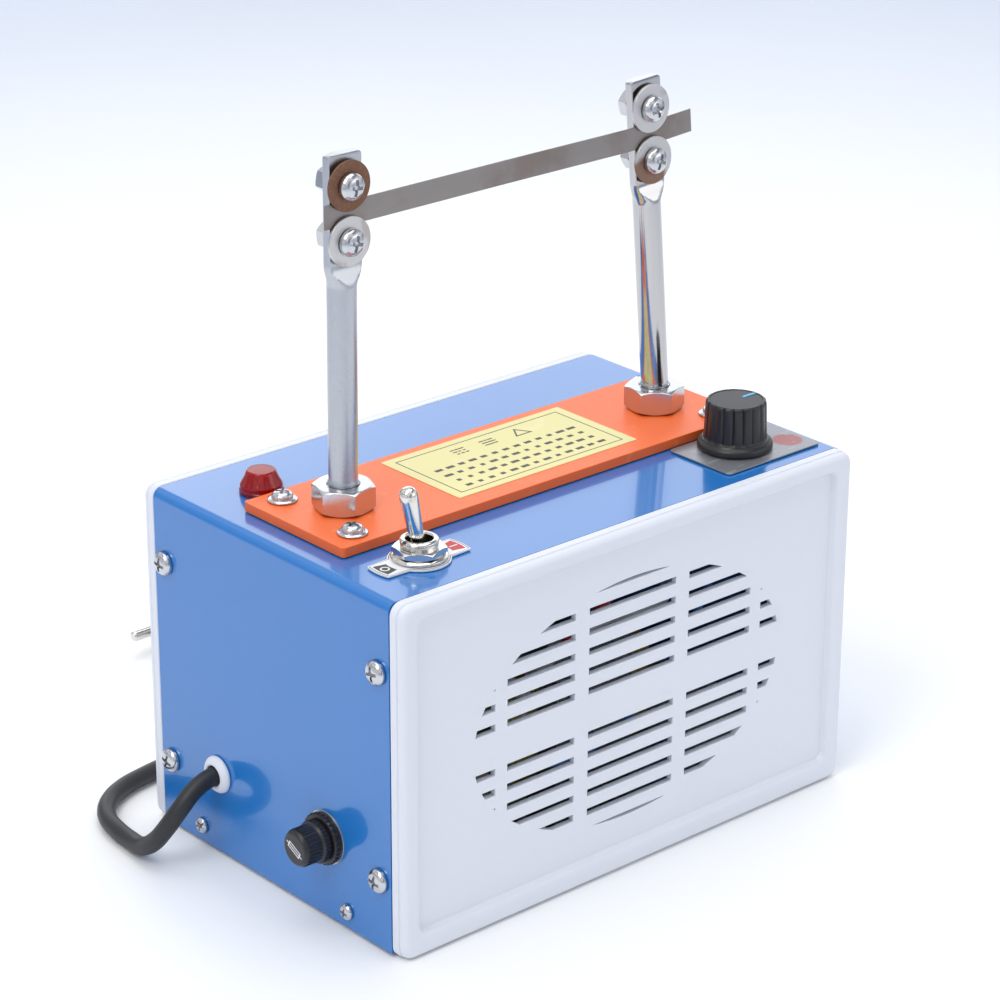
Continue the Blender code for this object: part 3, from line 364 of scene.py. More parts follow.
ENAMEL = finish(
    "blue_enamel",
    (0.012, 0.170, 0.53),
    0.2,
    drift=0.05,
    unevenness=0.06,
    scale=30.0,
    fine=420.0,
    bump=0.00003,
    patches=[
        {"Patch Colour": (0.02, 0.10, 0.36), "Patch Roughness": 0.3, "Scale": 700.0, "Level": 0.72,
         "Softness": 0.03, "Amount": 0.6},
    ],
    Coat_Weight=0.7,
    Coat_Roughness=0.04,
)
WHITE_MOULDING = finish(
    "white_moulding",
    (0.72, 0.75, 0.83),
    0.42,
    drift=0.035,
    scale=25.0,
    fine=1400.0,
    bump=0.00001,
    patches=[
        {"Patch Colour": (0.62, 0.64, 0.70), "Patch Roughness": 0.5, "Scale": 60.0, "Level": 0.66,
         "Softness": 0.12, "Amount": 0.25},
    ],
)
ORANGE_BOARD = finish(
    "orange_board",
    (0.90, 0.155, 0.030),
    0.40,
    drift=0.10,
    scale=60.0,
    fine=2200.0,
    bump=0.00002,
    patches=[
        {"Patch Colour": (0.95, 0.30, 0.12), "Patch Roughness": 0.5, "Scale": 240.0, "Level": 0.6,
         "Softness": 0.12, "Amount": 0.35},
    ],
)
BRIGHT_ZINC = finish(
    "bright_zinc",
    (0.60, 0.61, 0.64),
    0.20,
    1.0,
    drift=0.20,
    unevenness=0.16,
    scale=260.0,
    fine=1800.0,
    bump=0.00002,
    patches=[
        {"Patch Colour": (0.66, 0.60, 0.46), "Patch Roughness": 0.3, "Scale": 120.0, "Level": 0.6,
         "Softness": 0.12, "Amount": 0.35},
    ],
)
FROSTED_ZINC = finish(
    "frosted_zinc",
    (0.50, 0.52, 0.56),
    0.30,
    1.0,
    drift=0.30,
    unevenness=0.22,
    scale=520.0,
    fine=2600.0,
    stretch=(1.0, 1.0, 0.35),
    bump=0.00003,
    patches=[
        {"Patch Colour": (0.52, 0.50, 0.46), "Patch Roughness": 0.42, "Scale": 160.0, "Level": 0.58,
         "Softness": 0.1, "Amount": 0.35, "Stretch": (1.0, 1.0, 0.2)},
    ],
)
DRAWN_ZINC = finish(
    "drawn_zinc",
    (0.55, 0.545, 0.555),
    0.13,
    1.0,
    drift=0.18,
    unevenness=0.12,
    scale=600.0,
    fine=2400.0,
    stretch=(1.0, 1.0, 0.04),
    bump=0.00001,
)
WASHER_ZINC = finish(
    "washer_zinc",
    (0.62, 0.61, 0.61),
    0.36,
    1.0,
    drift=0.22,
    unevenness=0.14,
    scale=300.0,
    fine=2600.0,
    bump=0.00002,
    patches=[
        {"Patch Colour": (0.40, 0.33, 0.28), "Patch Roughness": 0.5, "Scale": 150.0, "Level": 0.56,
         "Softness": 0.14, "Amount": 0.5},
    ],
)


def tarnished(name, centre, reach, amount):
    """Zinc that the hot blade has browned within reach of a point, in metres."""
    return finish(
        name,
        (0.60, 0.59, 0.59),
        0.38,
        1.0,
        drift=0.22,
        scale=300.0,
        fine=2600.0,
        bump=0.00003,
        patches=[
            {"Patch Colour": (0.235, 0.125, 0.082), "Patch Roughness": 0.58, "Scale": 90.0,
             "Level": 0.2, "Softness": 0.1, "Amount": amount, "Centre": centre, "Reach": reach},
            {"Patch Colour": (0.34, 0.22, 0.17), "Patch Roughness": 0.6, "Scale": 1400.0,
             "Level": 0.55, "Softness": 0.08, "Amount": 0.5, "Centre": centre, "Reach": reach},
        ],
    )


NICKEL = finish(
    "nickel_plate",
    (0.76, 0.74, 0.70),
    0.12,
    1.0,
    drift=0.10,
    unevenness=0.10,
    scale=300.0,
    fine=2400.0,
    bump=0.00001,
    patches=[
        {"Patch Colour": (0.40, 0.36, 0.30), "Patch Roughness": 0.35, "Scale": 260.0, "Level": 0.62,
         "Softness": 0.1, "Amount": 0.45},
    ],
)
HEATED_STEEL = finish(
    "heated_steel",
    (0.30, 0.275, 0.265),
    0.38,
    1.0,
    drift=0.20,
    unevenness=0.12,
    scale=500.0,
    fine=2400.0,
    stretch=(0.04, 1.0, 1.0),
    bump=0.00001,
    patches=[
        {"Patch Colour": (0.215, 0.165, 0.14), "Patch Roughness": 0.46, "Scale": 40.0, "Level": 0.5,
         "Softness": 0.16, "Amount": 0.55},
    ],
)
BLACK_PLASTIC = finish(
    "black_plastic",
    (0.014, 0.014, 0.017),
    0.34,
    drift=0.25,
    unevenness=0.12,
    scale=200.0,
    fine=2600.0,
    bump=0.00002,
)
KNOB_TOP = finish(
    "knob_top",
    (0.055, 0.055, 0.062),
    0.52,
    drift=0.16,
    scale=200.0,
    fine=3200.0,
    bump=0.00004,
)
POINTER_BLUE = finish("pointer_blue", (0.10, 0.48, 0.80), 0.4, drift=0.08)
RUBBER = finish(
    "cord_sheath",
    (0.017, 0.018, 0.021),
    0.46,
    drift=0.2,
    unevenness=0.14,
    scale=160.0,
    fine=2200.0,
    bump=0.00003,
)
TIE_PLASTIC = finish("tie_plastic", (0.70, 0.72, 0.74), 0.4, drift=0.08)
RED_LENS = finish(
    "red_lens",
    (0.62, 0.008, 0.014),
    0.09,
    drift=0.06,
    unevenness=0.03,
    scale=200.0,
    fine=1600.0,
    Transmission_Weight=0.75,
    IOR=1.49,
)
LENS_CORE = finish("lens_core", (0.62, 0.06, 0.05), 0.5, drift=0.15)
NOTICE_FOIL = finish(
    "notice_foil",
    (0.74, 0.68, 0.30),
    0.36,
    drift=0.06,
    scale=60.0,
    fine=2600.0,
    bump=0.00001,
    patches=[
        {"Patch Colour": (0.80, 0.77, 0.48), "Patch Roughness": 0.45, "Scale": 110.0, "Level": 0.58,
         "Softness": 0.1, "Amount": 0.3},
    ],
)
DARK_INK = finish("dark_ink", (0.055, 0.055, 0.05), 0.5, drift=0.3, scale=900.0)
RED_INK = finish("red_ink", (0.55, 0.02, 0.03), 0.4, drift=0.15, scale=600.0)
WHITE_LABEL = finish("white_label", (0.82, 0.83, 0.85), 0.35, drift=0.04, scale=120.0)
DIAL_FOIL = finish(
    "dial_foil",
    (0.31, 0.32, 0.35),
    0.34,
    0.55,
    drift=0.14,
    unevenness=0.16,
    scale=120.0,
    fine=1600.0,
    bump=0.00002,
    patches=[
        {"Patch Colour": (0.52, 0.53, 0.57), "Patch Roughness": 0.5, "Scale": 420.0, "Level": 0.58,
         "Softness": 0.04, "Amount": 0.5, "Stretch": (0.25, 1.0, 1.0)},
        {"Patch Colour": (0.42, 0.10, 0.10), "Patch Roughness": 0.45, "Scale": 220.0, "Level": 0.34,
         "Softness": 0.1, "Amount": 0.75, "Centre": (0.0825, -0.0435, 0.1158), "Reach": 0.0042},
    ],
)
GALVANISED = finish(
    "galvanised_sheet",
    (0.60, 0.62, 0.64),
    0.36,
    1.0,
    drift=0.22,
    unevenness=0.16,
    scale=90.0,
    fine=700.0,
    bump=0.00001,
)
ALUMINIUM = finish(
    "turned_aluminium", (0.78, 0.78, 0.80), 0.28, 1.0, drift=0.12, scale=500.0,
    stretch=(1.0, 1.0, 0.1), bump=0.00001,
)
FUSE_GLASS = finish(
    "fuse_glass", (0.86, 0.92, 0.91), 0.05, drift=0.03, unevenness=0.02, Transmission_Weight=0.9,
    IOR=1.5,
)
LAMINATIONS = finish(
    "core_laminations",
    (0.22, 0.23, 0.25),
    0.5,
    0.7,
    drift=0.3,
    unevenness=0.15,
    scale=240.0,
    fine=1800.0,
    bump=0.00003,
)
COIL_TAPE = finish(
    "coil_tape",
    (0.50, 0.43, 0.10),
    0.30,
    drift=0.12,
    scale=90.0,
    bump=0.00008,
    bands={"Axis": (1.0, 0.0, 0.12), "Pitch": 0.011, "Waver": 0.002, "Share": 0.06},
    band_colour=(0.33, 0.27, 0.05),
)
BOARD_GREEN = finish(
    "board_green",
    (0.03, 0.19, 0.07),
    0.28,
    drift=0.18,
    scale=300.0,
    bump=0.00002,
    patches=[
        {"Patch Colour": (0.14, 0.36, 0.12), "Patch Roughness": 0.3, "Scale": 420.0, "Level": 0.56,
         "Softness": 0.02, "Amount": 0.7, "Stretch": (1.0, 0.3, 1.0)},
    ],
)
CLEAR_SLEEVE = finish("white_sleeve", (0.72, 0.73, 0.74), 0.3, drift=0.1)
RED_WIRE = finish("red_wire", (0.55, 0.03, 0.02), 0.35, drift=0.1)
BLUE_WIRE = finish("blue_wire", (0.04, 0.22, 0.60), 0.35, drift=0.1)
TAN_PART = finish("tan_part", (0.42, 0.33, 0.22), 0.5, drift=0.15)


# ---------------------------------------------------------------- shapes


def arc(centre, radius, start, end, steps):
    """Points along an arc, both ends included. Angles are in degrees."""
    angles = [math.radians(start + (end - start) * step / steps) for step in range(steps + 1)]
    return [(centre[0] + radius * math.cos(a), centre[1] + radius * math.sin(a)) for a in angles]


def rounded(half_x, low_y, high_y, radius, steps=6):
    """A rectangle's outline with rounded corners, anticlockwise."""
    right, left = half_x - radius, radius - half_x
    points = arc((right, high_y - radius), radius, 0, 90, steps)
    points += arc((left, high_y - radius), radius, 90, 180, steps)
    points += arc((left, low_y + radius), radius, 180, 270, steps)
    points += arc((right, low_y + radius), radius, 270, 360, steps)
    return points


def eased(points, closed=False, steps=4):
    """Points whose third number, where there is one, is the size of a round over that corner."""
    result = []
    last = len(points) - 1
    for index, (x, y, *size) in enumerate(points):
        if not size or (not closed and index in (0, last)):
            result.append((x, y))
            continue
        here = Vector((x, y))
        before = Vector(points[index - 1][:2]) - here
        after = Vector(points[(index + 1) % len(points)][:2]) - here
        start = here + before.normalized() * min(size[0], before.length * 0.48)
        end = here + after.normalized() * min(size[0], after.length * 0.48)
        for step in range(steps + 1):
            t = step / steps
            result.append(tuple(start.lerp(here, t).lerp(here.lerp(end, t), t)))
    return result


def skin(rings, close_ends=True, loop=False):
    """Faces between rings of points. A ring of one point closes to a pole."""
    bm = bmesh.new()
    rows = [[bm.verts.new(point) for point in ring] for ring in rings]
    pairs = list(zip(rows, rows[1:])) + ([(rows[-1], rows[0])] if loop else [])
    for lower, upper in pairs:
        count = max(len(lower), len(upper))
        for index in range(count):
            following = (index + 1) % count
            corners = [lower[index % len(lower)], lower[following % len(lower)]]
            corners += [upper[following % len(upper)], upper[index % len(upper)]]
            corners = list(dict.fromkeys(corners))
            if len(corners) > 2:
                bm.faces.new(corners)
    if close_ends and not loop:
        for row in (rows[0], rows[-1]):
            if len(row) > 2:
                bm.faces.new(row)
    return bm


def lathe(profile, segments=48, loop=False):
    """A solid from (radius, height, corner) points, turned about Z."""
    rings = []
    for radius, height in eased(profile, loop):
        if radius < 1e-6:
            rings.append([(0.0, 0.0, height)])
            continue
        angles = [2 * math.pi * step / segments for step in range(segments)]
        rings.append([(radius * math.cos(a), radius * math.sin(a), height) for a in angles])
    return skin(rings, loop=loop)


def prism(outline, low, high):
    return skin([[(x, y, z) for x, y in outline] for z in (low, high)])


def block(size, centre):
    half_x, half_y, half_z = (value / 2 for value in size)
    corners = [(half_x, -half_y), (half_x, half_y), (-half_x, half_y), (-half_x, -half_y)]
    return moved(prism(corners, -half_z, half_z), centre)


def moved(bm, offset=(0, 0, 0), turn=None):
    if turn is not None:
        bmesh.ops.transform(bm, matrix=turn, verts=bm.verts)
    bmesh.ops.translate(bm, verts=bm.verts, vec=offset)
    return bm


def join(*shells):
    """Several closed shells in one mesh."""
    first = shells[0]
    for other in shells[1:]:
        scratch = bpy.data.meshes.new("scratch")
        other.to_mesh(scratch)
        other.free()
        first.from_mesh(scratch)
        bpy.data.meshes.remove(scratch)
    return first


def loose(name, bm):
    """An object that nothing rides on yet."""
    bmesh.ops.recalc_face_normals(bm, faces=bm.faces)
    mesh = bpy.data.meshes.new(name)
    bm.to_mesh(mesh)
    bm.free()
    obj = bpy.data.objects.new(name, mesh)
    bpy.context.scene.collection.objects.link(obj)
    return obj


def settle(obj):
    """Applies every modifier, so that the object holds a plain mesh."""
    graph = bpy.context.evaluated_depsgraph_get()
    plain = bpy.data.meshes.new_from_object(obj.evaluated_get(graph))
    obj.modifiers.clear()
    obj.data = plain


def carved(bm, other, operation="DIFFERENCE"):
    """The solid after another is cut from it, added to it, or laid over it."""
    body, tool = loose("body", bm), loose("tool", other)
    modifier = body.modifiers.new("carve", "BOOLEAN")
    modifier.operation = operation
    modifier.solver = "EXACT"
    modifier.object = tool
    settle(body)
    result = bmesh.new()
    result.from_mesh(body.data)
    for helper in (body, tool):
        bpy.data.objects.remove(helper)
    return result


def piece(name, bm, material, replaced=(), body="case", place=None, bevel=0.0):
    """A finished piece: in metres, edges eased, smooth where it is round, riding on its body."""
    if place is not None:
        bmesh.ops.transform(bm, matrix=place, verts=bm.verts)
    bmesh.ops.transform(bm, matrix=TO_METRES, verts=bm.verts)
    bmesh.ops.remove_doubles(bm, verts=bm.verts, dist=1e-7)
    obj = loose(name, bm)
    return dress(obj, material, replaced, body, bevel)


def dress(obj, material, replaced=(), body="case", bevel=0.0):
    if bevel:
        modifier = obj.modifiers.new("eased_edges", "BEVEL")
        modifier.width = bevel * 0.001
        modifier.segments = 2
        modifier.limit_method = "ANGLE"
        modifier.angle_limit = math.radians(32)
        settle(obj)
    obj.data.shade_smooth()
    obj.data.set_sharp_from_angle(angle=SHARP)
    weighted = obj.modifiers.new("even_shading", "WEIGHTED_NORMAL")
    weighted.keep_sharp = True
    settle(obj)
    if material is not None:
        obj.data.materials.clear()
        obj.data.materials.append(material)
    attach(obj, body)
    if replaced:
        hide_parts(*replaced)
    return obj


# ---------------------------------------------------------------- repeated shapes


class Growth:
    """A Geometry Nodes tree with named inputs, built up node by node."""

    kinds = {float: "NodeSocketFloat", int: "NodeSocketInt", tuple: "NodeSocketVector"}

    def __init__(self, name, sizes, objects=()):
        self.tree = bpy.data.node_groups.new(name, "GeometryNodeTree")
        self.tree.is_modifier = True
        face = self.tree.interface
        face.new_socket("Geometry", in_out="OUTPUT", socket_type="NodeSocketGeometry")
        face.new_socket("Geometry", in_out="INPUT", socket_type="NodeSocketGeometry")
        for label, value in sizes.items():
            socket = face.new_socket(label, in_out="INPUT", socket_type=self.kinds[type(value)])
            socket.default_value = value
        for label in objects:
            face.new_socket(label, in_out="INPUT", socket_type="NodeSocketObject")
        face.new_socket("Finish", in_out="INPUT", socket_type="NodeSocketMaterial")
        self.given = self.tree.nodes.new("NodeGroupInput").outputs

    def add(self, kind, values=None, **settings):
        return add(self.tree, kind, values, **settings)

    def math(self, operation, first, second=0.0):
        return self.add("ShaderNodeMath", {0: first, 1: second}, operation=operation)

    def vector(self, x=0.0, y=0.0, z=0.0):
        return self.add("ShaderNodeCombineXYZ", {"X": x, "Y": y, "Z": z})

    def box(self, x, y, z):
        return self.add("GeometryNodeMeshCube", {"Size": self.vector(x, y, z)})

    def shift(self, shape, offset=(0.0, 0.0, 0.0), turn=(0.0, 0.0, 0.0), size=(1.0, 1.0, 1.0)):
        values = {"Geometry": shape, "Translation": offset, "Rotation": turn, "Scale": size}
        return self.add("GeometryNodeTransform", values)

    def both(self, *shapes):
        return self.add("GeometryNodeJoinGeometry", {"Geometry": list(shapes)})

    def cut(self, first, second):
        values = {"Mesh 1": first, "Mesh 2": second}
        return self.add("GeometryNodeMeshBoolean", values, operation="DIFFERENCE", solver="EXACT")

    def overlap(self, *shapes):
        values = {"Mesh 2": list(shapes)}
        return self.add("GeometryNodeMeshBoolean", values, operation="INTERSECT", solver="EXACT")

    def held(self, label):
        """The shape of an object that is handed in."""
        node = self.tree.nodes.new("GeometryNodeObjectInfo")
        self.tree.links.new(self.given[label], node.inputs["Object"])
        return node.outputs["Geometry"]

    def spread(self, points, shape, turn=None):
        values = {"Points": points, "Instance": shape}
        if turn is not None:
            values["Rotation"] = turn
        return self.add("GeometryNodeInstanceOnPoints", values)

    def facing(self, points, shape):
        """Copies that stand along each point's facing, each turned by its own spin."""
        node = self.tree.nodes.new("GeometryNodeInputNamedAttribute")
        node.data_type = "FLOAT_VECTOR"
        node.inputs["Name"].default_value = "facing"
        along = next(output for output in node.outputs if output.enabled)
        turn = self.add("FunctionNodeAlignRotationToVector", {"Vector": along}, axis="Z")
        copies = self.spread(points, shape, turn)
        node = self.tree.nodes.new("GeometryNodeInputNamedAttribute")
        node.data_type = "FLOAT"
        node.inputs["Name"].default_value = "spin"
        spin = self.vector(0.0, 0.0, next(output for output in node.outputs if output.enabled))
        return self.add("GeometryNodeRotateInstances", {"Instances": copies, "Rotation": spin})

    def end(self, shape):
        real = self.add("GeometryNodeRealizeInstances", {"Geometry": shape})
        values = {"Geometry": real, "Material": self.given["Finish"]}
        done = self.add("GeometryNodeSetMaterial", values)
        self.tree.links.new(done, self.tree.nodes.new("NodeGroupOutput").inputs["Geometry"])
        return self.tree


def vent_tree():
    """An oval of level slots between upright bars, cut through a moulding."""
    g = Growth(
        "slotted_vent",
        {
            "Rows": 6,
            "First Row": 7.4,
            "Row Pitch": 6.6,
            "Slot Height": 2.4,
            "Half Width": 64.1,
            "Half Height": 40.4,
            "Inner Bar": 20.8,
            "Inner Bar Width": 5.6,
            "Outer Bar": 53.1,
            "Outer Bar Width": 4.7,
            "Centre Height": 57.6,
            "Depth": 20.0,
        },
    )
    given = g.given
    values = {"Count": given["Rows"], "Start Location": g.vector(y=given["First Row"])}
    values["Offset"] = g.vector(y=given["Row Pitch"])
    upper = g.add("GeometryNodeMeshLine", values, mode="OFFSET")
    rows = g.both(upper, g.shift(upper, size=(1.0, -1.0, 1.0)))
    width = g.math("MULTIPLY", given["Half Width"], 2.2)
    slots = g.spread(rows, g.box(width, given["Slot Height"], given["Depth"]))
    slots = g.add("GeometryNodeRealizeInstances", {"Geometry": slots})
    oval = g.add("GeometryNodeMeshCylinder", {"Vertices": 96, "Radius": 1.0, "Depth": given["Depth"]})
    oval = g.shift(oval, size=g.vector(given["Half Width"], given["Half Height"], 0.9))
    opening = g.overlap(slots, oval)
    height = g.math("MULTIPLY", given["Half Height"], 3.0)
    depth = g.math("MULTIPLY", given["Depth"], 2.0)
    bars = []
    for label in ("Inner Bar", "Outer Bar"):
        bar = g.box(given[label + " Width"], height, depth)
        bars.append(g.shift(bar, g.vector(given[label])))
        bars.append(g.shift(bar, g.vector(g.math("MULTIPLY", given[label], -1.0))))
    opening = g.cut(opening, g.both(*bars))
    opening = g.shift(opening, g.vector(y=given["Centre Height"]))
    return g.end(g.cut(given["Geometry"], opening))


def screw_tree():
    """Cross-recessed screws from one blank, standing at each point."""
    sizes = {"Recess Length": 4.4, "Recess Width": 1.0, "Recess Depth": 1.2, "Head Height": 2.5}
    g = Growth("cross_screws", sizes, ["Blank"])
    given = g.given
    depth = g.math("MULTIPLY", given["Recess Depth"], 2.0)
    bar = g.shift(
        g.box(given["Recess Length"], given["Recess Width"], depth),
        g.vector(z=given["Head Height"]),
    )
    other = g.shift(bar, turn=(0.0, 0.0, math.pi / 2))
    pit_top = g.math("MULTIPLY", given["Recess Width"], 1.15)
    pit = g.add(
        "GeometryNodeMeshCone",
        {
            "Vertices": 12,
            "Radius Top": pit_top,
            "Radius Bottom": 0.2,
            "Depth": g.math("MULTIPLY", given["Recess Depth"], 1.5),
        },
    )
    pit_low = g.math("SUBTRACT", given["Head Height"], g.math("MULTIPLY", given["Recess Depth"], 1.35))
    head = g.cut(g.held("Blank"), bar)
    head = g.cut(head, other)
    head = g.cut(head, g.shift(pit, g.vector(z=pit_low)))
    return g.end(g.facing(given["Geometry"], head))


def nut_tree():
    """Hexagon nuts with 30 degree chamfers, standing at each point."""
    sizes = {"Across Flats": 17.0, "Height": 7.8, "Bore": 5.3, "Chamfer": 0.45}
    g = Growth("hex_nuts", sizes)
    given = g.given
    radius = g.math("DIVIDE", given["Across Flats"], math.sqrt(3))
    values = {"Vertices": 6, "Radius": radius, "Depth": given["Height"]}
    blank = g.add("GeometryNodeMeshCylinder", values)
    tall = g.math("ADD", given["Height"], 0.4)
    small = g.math("SUBTRACT", g.math("MULTIPLY", given["Across Flats"], 0.5), given["Chamfer"])
    large = g.math("ADD", small, g.math("MULTIPLY", tall, math.sqrt(3)))
    values = {"Vertices": 72, "Radius Top": small, "Radius Bottom": large, "Depth": tall}
    cone = g.add("GeometryNodeMeshCone", values)
    cone = g.shift(cone, g.vector(z=g.math("MULTIPLY", tall, -0.5)))
    over = g.shift(cone, turn=(math.pi, 0.0, 0.0))
    values = {"Vertices": 40, "Radius": given["Bore"], "Depth": g.math("MULTIPLY", tall, 2.0)}
    hole = g.add("GeometryNodeMeshCylinder", values)
    nut = g.cut(g.overlap(blank, cone, over), hole)
    nut = g.shift(nut, g.vector(z=g.math("MULTIPLY", given["Height"], 0.5)))
    return g.end(g.facing(given["Geometry"], nut))


def thread_tree():
    """A helical ridge of triangular section, standing at each point."""
    sizes = {"Radius": 4.5, "Pitch": 1.5, "Length": 24.0, "Ridge": 0.6}
    g = Growth("screw_thread", sizes)
    given = g.given
    turns = g.math("DIVIDE", given["Length"], given["Pitch"])
    values = {"Resolution": 36, "Rotations": turns, "Start Radius": given["Radius"]}
    values |= {"End Radius": given["Radius"], "Height": given["Length"]}
    line = g.add("GeometryNodeCurveSpiral", values)
    ridge = g.add("GeometryNodeCurvePrimitiveCircle", {"Resolution": 4, "Radius": given["Ridge"]})
    values = {"Curve": line, "Profile Curve": ridge, "Fill Caps": True}
    return g.end(g.facing(given["Geometry"], g.add("GeometryNodeCurveToMesh", values)))


def rib_tree():
    """Upright ribs in a ring about Z, standing at each point."""
    sizes = {"Count": 24, "Radius": 6.0, "Rib Width": 0.7, "Rib Depth": 0.6, "Rib Length": 5.0}
    g = Growth("ring_of_ribs", sizes)
    given = g.given
    values = {"Vertices": given["Count"], "Radius": given["Radius"]}
    circle = g.add("GeometryNodeMeshCircle", values, fill_type="NONE")
    place = g.tree.nodes.new("GeometryNodeInputPosition").outputs[0]
    out = g.add("FunctionNodeAlignRotationToVector", {"Vector": place}, axis="X")
    values = {"Vertices": 6, "Radius": 0.5, "Depth": given["Rib Length"]}
    rib = g.add("GeometryNodeMeshCylinder", values)
    rib = g.shift(rib, size=g.vector(given["Rib Depth"], given["Rib Width"], 1.0))
    rib = g.shift(rib, g.vector(z=g.math("MULTIPLY", given["Rib Length"], 0.5)))
    ring = g.add("GeometryNodeRealizeInstances", {"Geometry": g.spread(circle, rib, out)})
    return g.end(g.facing(given["Geometry"], ring))


def stack_tree():
    """Copies of one sheet, a pitch apart along X."""
    g = Growth("stacked_sheets", {"Count": 24, "Pitch": 1.3, "First": 0.0}, ["Sheet"])
    given = g.given
    values = {"Count": given["Count"], "Start Location": g.vector(given["First"])}
    values["Offset"] = g.vector(given["Pitch"])
    line = g.add("GeometryNodeMeshLine", values, mode="OFFSET")
    return g.end(g.spread(line, g.held("Sheet")))


def dash_tree():
    """Rows of short bars whose lengths vary, as plain printed lines."""
    sizes = {"Columns": 9, "Rows": 4, "Width": 50.0, "Depth": 18.0}
    sizes |= {"Dash Length": 3.4, "Dash Height": 1.6, "Thickness": 0.04, "Seed": 4}
    g = Growth("printed_dashes", sizes)
    given = g.given
    values = {"Size X": given["Width"], "Size Y": given["Depth"]}
    values |= {"Vertices X": given["Columns"], "Vertices Y": given["Rows"]}
    grid = g.add("GeometryNodeMeshGrid", values)
    dash = g.box(given["Dash Length"], given["Dash Height"], given["Thickness"])
    node = g.tree.nodes.new("FunctionNodeRandomValue")
    node.data_type = "FLOAT"
    node.inputs[2].default_value = 0.55
    node.inputs[3].default_value = 1.25
    g.tree.links.new(given["Seed"], node.inputs["Seed"])
    length = next(output for output in node.outputs if output.enabled)
    values = {"Points": grid, "Instance": dash, "Scale": g.vector(length, 1.0, 1.0)}
    return g.end(g.add("GeometryNodeInstanceOnPoints", values))


VENT = vent_tree()
SCREWS = screw_tree()
NUTS = nut_tree()
THREAD = thread_tree()
RIBS = rib_tree()
STACK = stack_tree()
DASHES = dash_tree()


def grown(name, tree, material, sizes, start=None):
    """The plain mesh, still in millimetres, that a tree makes from its sizes."""
    obj = start or bpy.data.objects.new(name, bpy.data.meshes.new(name))
    if start is None:
        bpy.context.scene.collection.objects.link(obj)
    obj.name = name
    modifier = obj.modifiers.new(tree.name, "NODES")
    modifier.node_group = tree
    values = {"Finish": material, **sizes}
    for item in tree.interface.items_tree:
        if item.item_type == "SOCKET" and item.in_out == "INPUT" and item.name in values:
            modifier[item.identifier] = values[item.name]
    settle(obj)
    result = bmesh.new()
    result.from_mesh(obj.data)
    bpy.data.objects.remove(obj)
    bmesh.ops.remove_doubles(result, verts=result.verts, dist=1e-4)
    return result


def places(name, spots):
    """Points with the way that each faces and its spin, for the trees that copy a shape."""
    mesh = bpy.data.meshes.new(name)
    mesh.from_pydata([place for place, facing, spin in spots], [], [])
    mesh.attributes.new("facing", "FLOAT_VECTOR", "POINT")
    mesh.attributes.new("spin", "FLOAT", "POINT")
    for index, (place, way, turn) in enumerate(spots):
        mesh.attributes["facing"].data[index].vector = way
        mesh.attributes["spin"].data[index].value = turn
    obj = bpy.data.objects.new(name, mesh)
    bpy.context.scene.collection.objects.link(obj)
    return obj


def copies(name, tree, material, spots, sizes, helper=None):
    made = grown(name, tree, material, sizes, places(name, spots))
    if helper is not None:
        bpy.data.objects.remove(helper)
    return made


# ---------------------------------------------------------------- camera and cord


def make_camera():
    data = bpy.data.cameras.new("camera")
    data.lens = 119.3
    data.sensor_width = 36.0
    camera = bpy.data.objects.new("camera", data)
    azimuth, elevation, roll = (math.radians(v) for v in (-41.4, 22.631, 0.216))
    back = Vector(
        (
            math.sin(azimuth) * math.cos(elevation),
            -math.cos(azimuth) * math.cos(elevation),
            math.sin(elevation),
        )
    )
    right = Vector((math.cos(azimuth), math.sin(azimuth), 0.0))
    up = back.cross(right)
    across = right * math.cos(roll) + up * math.sin(roll)
    rise = up * math.cos(roll) - right * math.sin(roll)
    turn = Matrix((across, rise, back)).transposed().to_4x4()
    camera.matrix_world = Matrix.Translation((-0.63492, -0.71918, 0.50372)) @ turn
    bpy.context.scene.collection.objects.link(camera)
    bpy.context.scene.camera = camera


def coil_line():
    """The wound part of the cord: three turns inwards, then up, and back out on top of them."""
    points = []
    steps = 18
    last = len(COIL_RINGS) - 1
    for turn, radius in enumerate(COIL_RINGS):
        following = COIL_RINGS[min(turn + 1, last)]
        level = COIL_LEVELS[turn > 2]
        for step in range(steps // 2 + 1 if turn == last else steps):
            share = max(0.0, (step / steps - 0.77) / 0.23)
            share = share * share * (3 - 2 * share)
            angle = math.radians(-90 + 360 * step / steps)
            reach = radius + (following - radius) * share
            height = level
            if turn == 2:
                reach -= 3.2 * math.sin(math.pi * share)
                height += (COIL_LEVELS[1] - level) * share
            x = COIL_CENTRE[0] + reach * math.cos(angle)
            y = COIL_CENTRE[1] + reach * math.sin(angle)
            points.append((x, y, height))
    return points


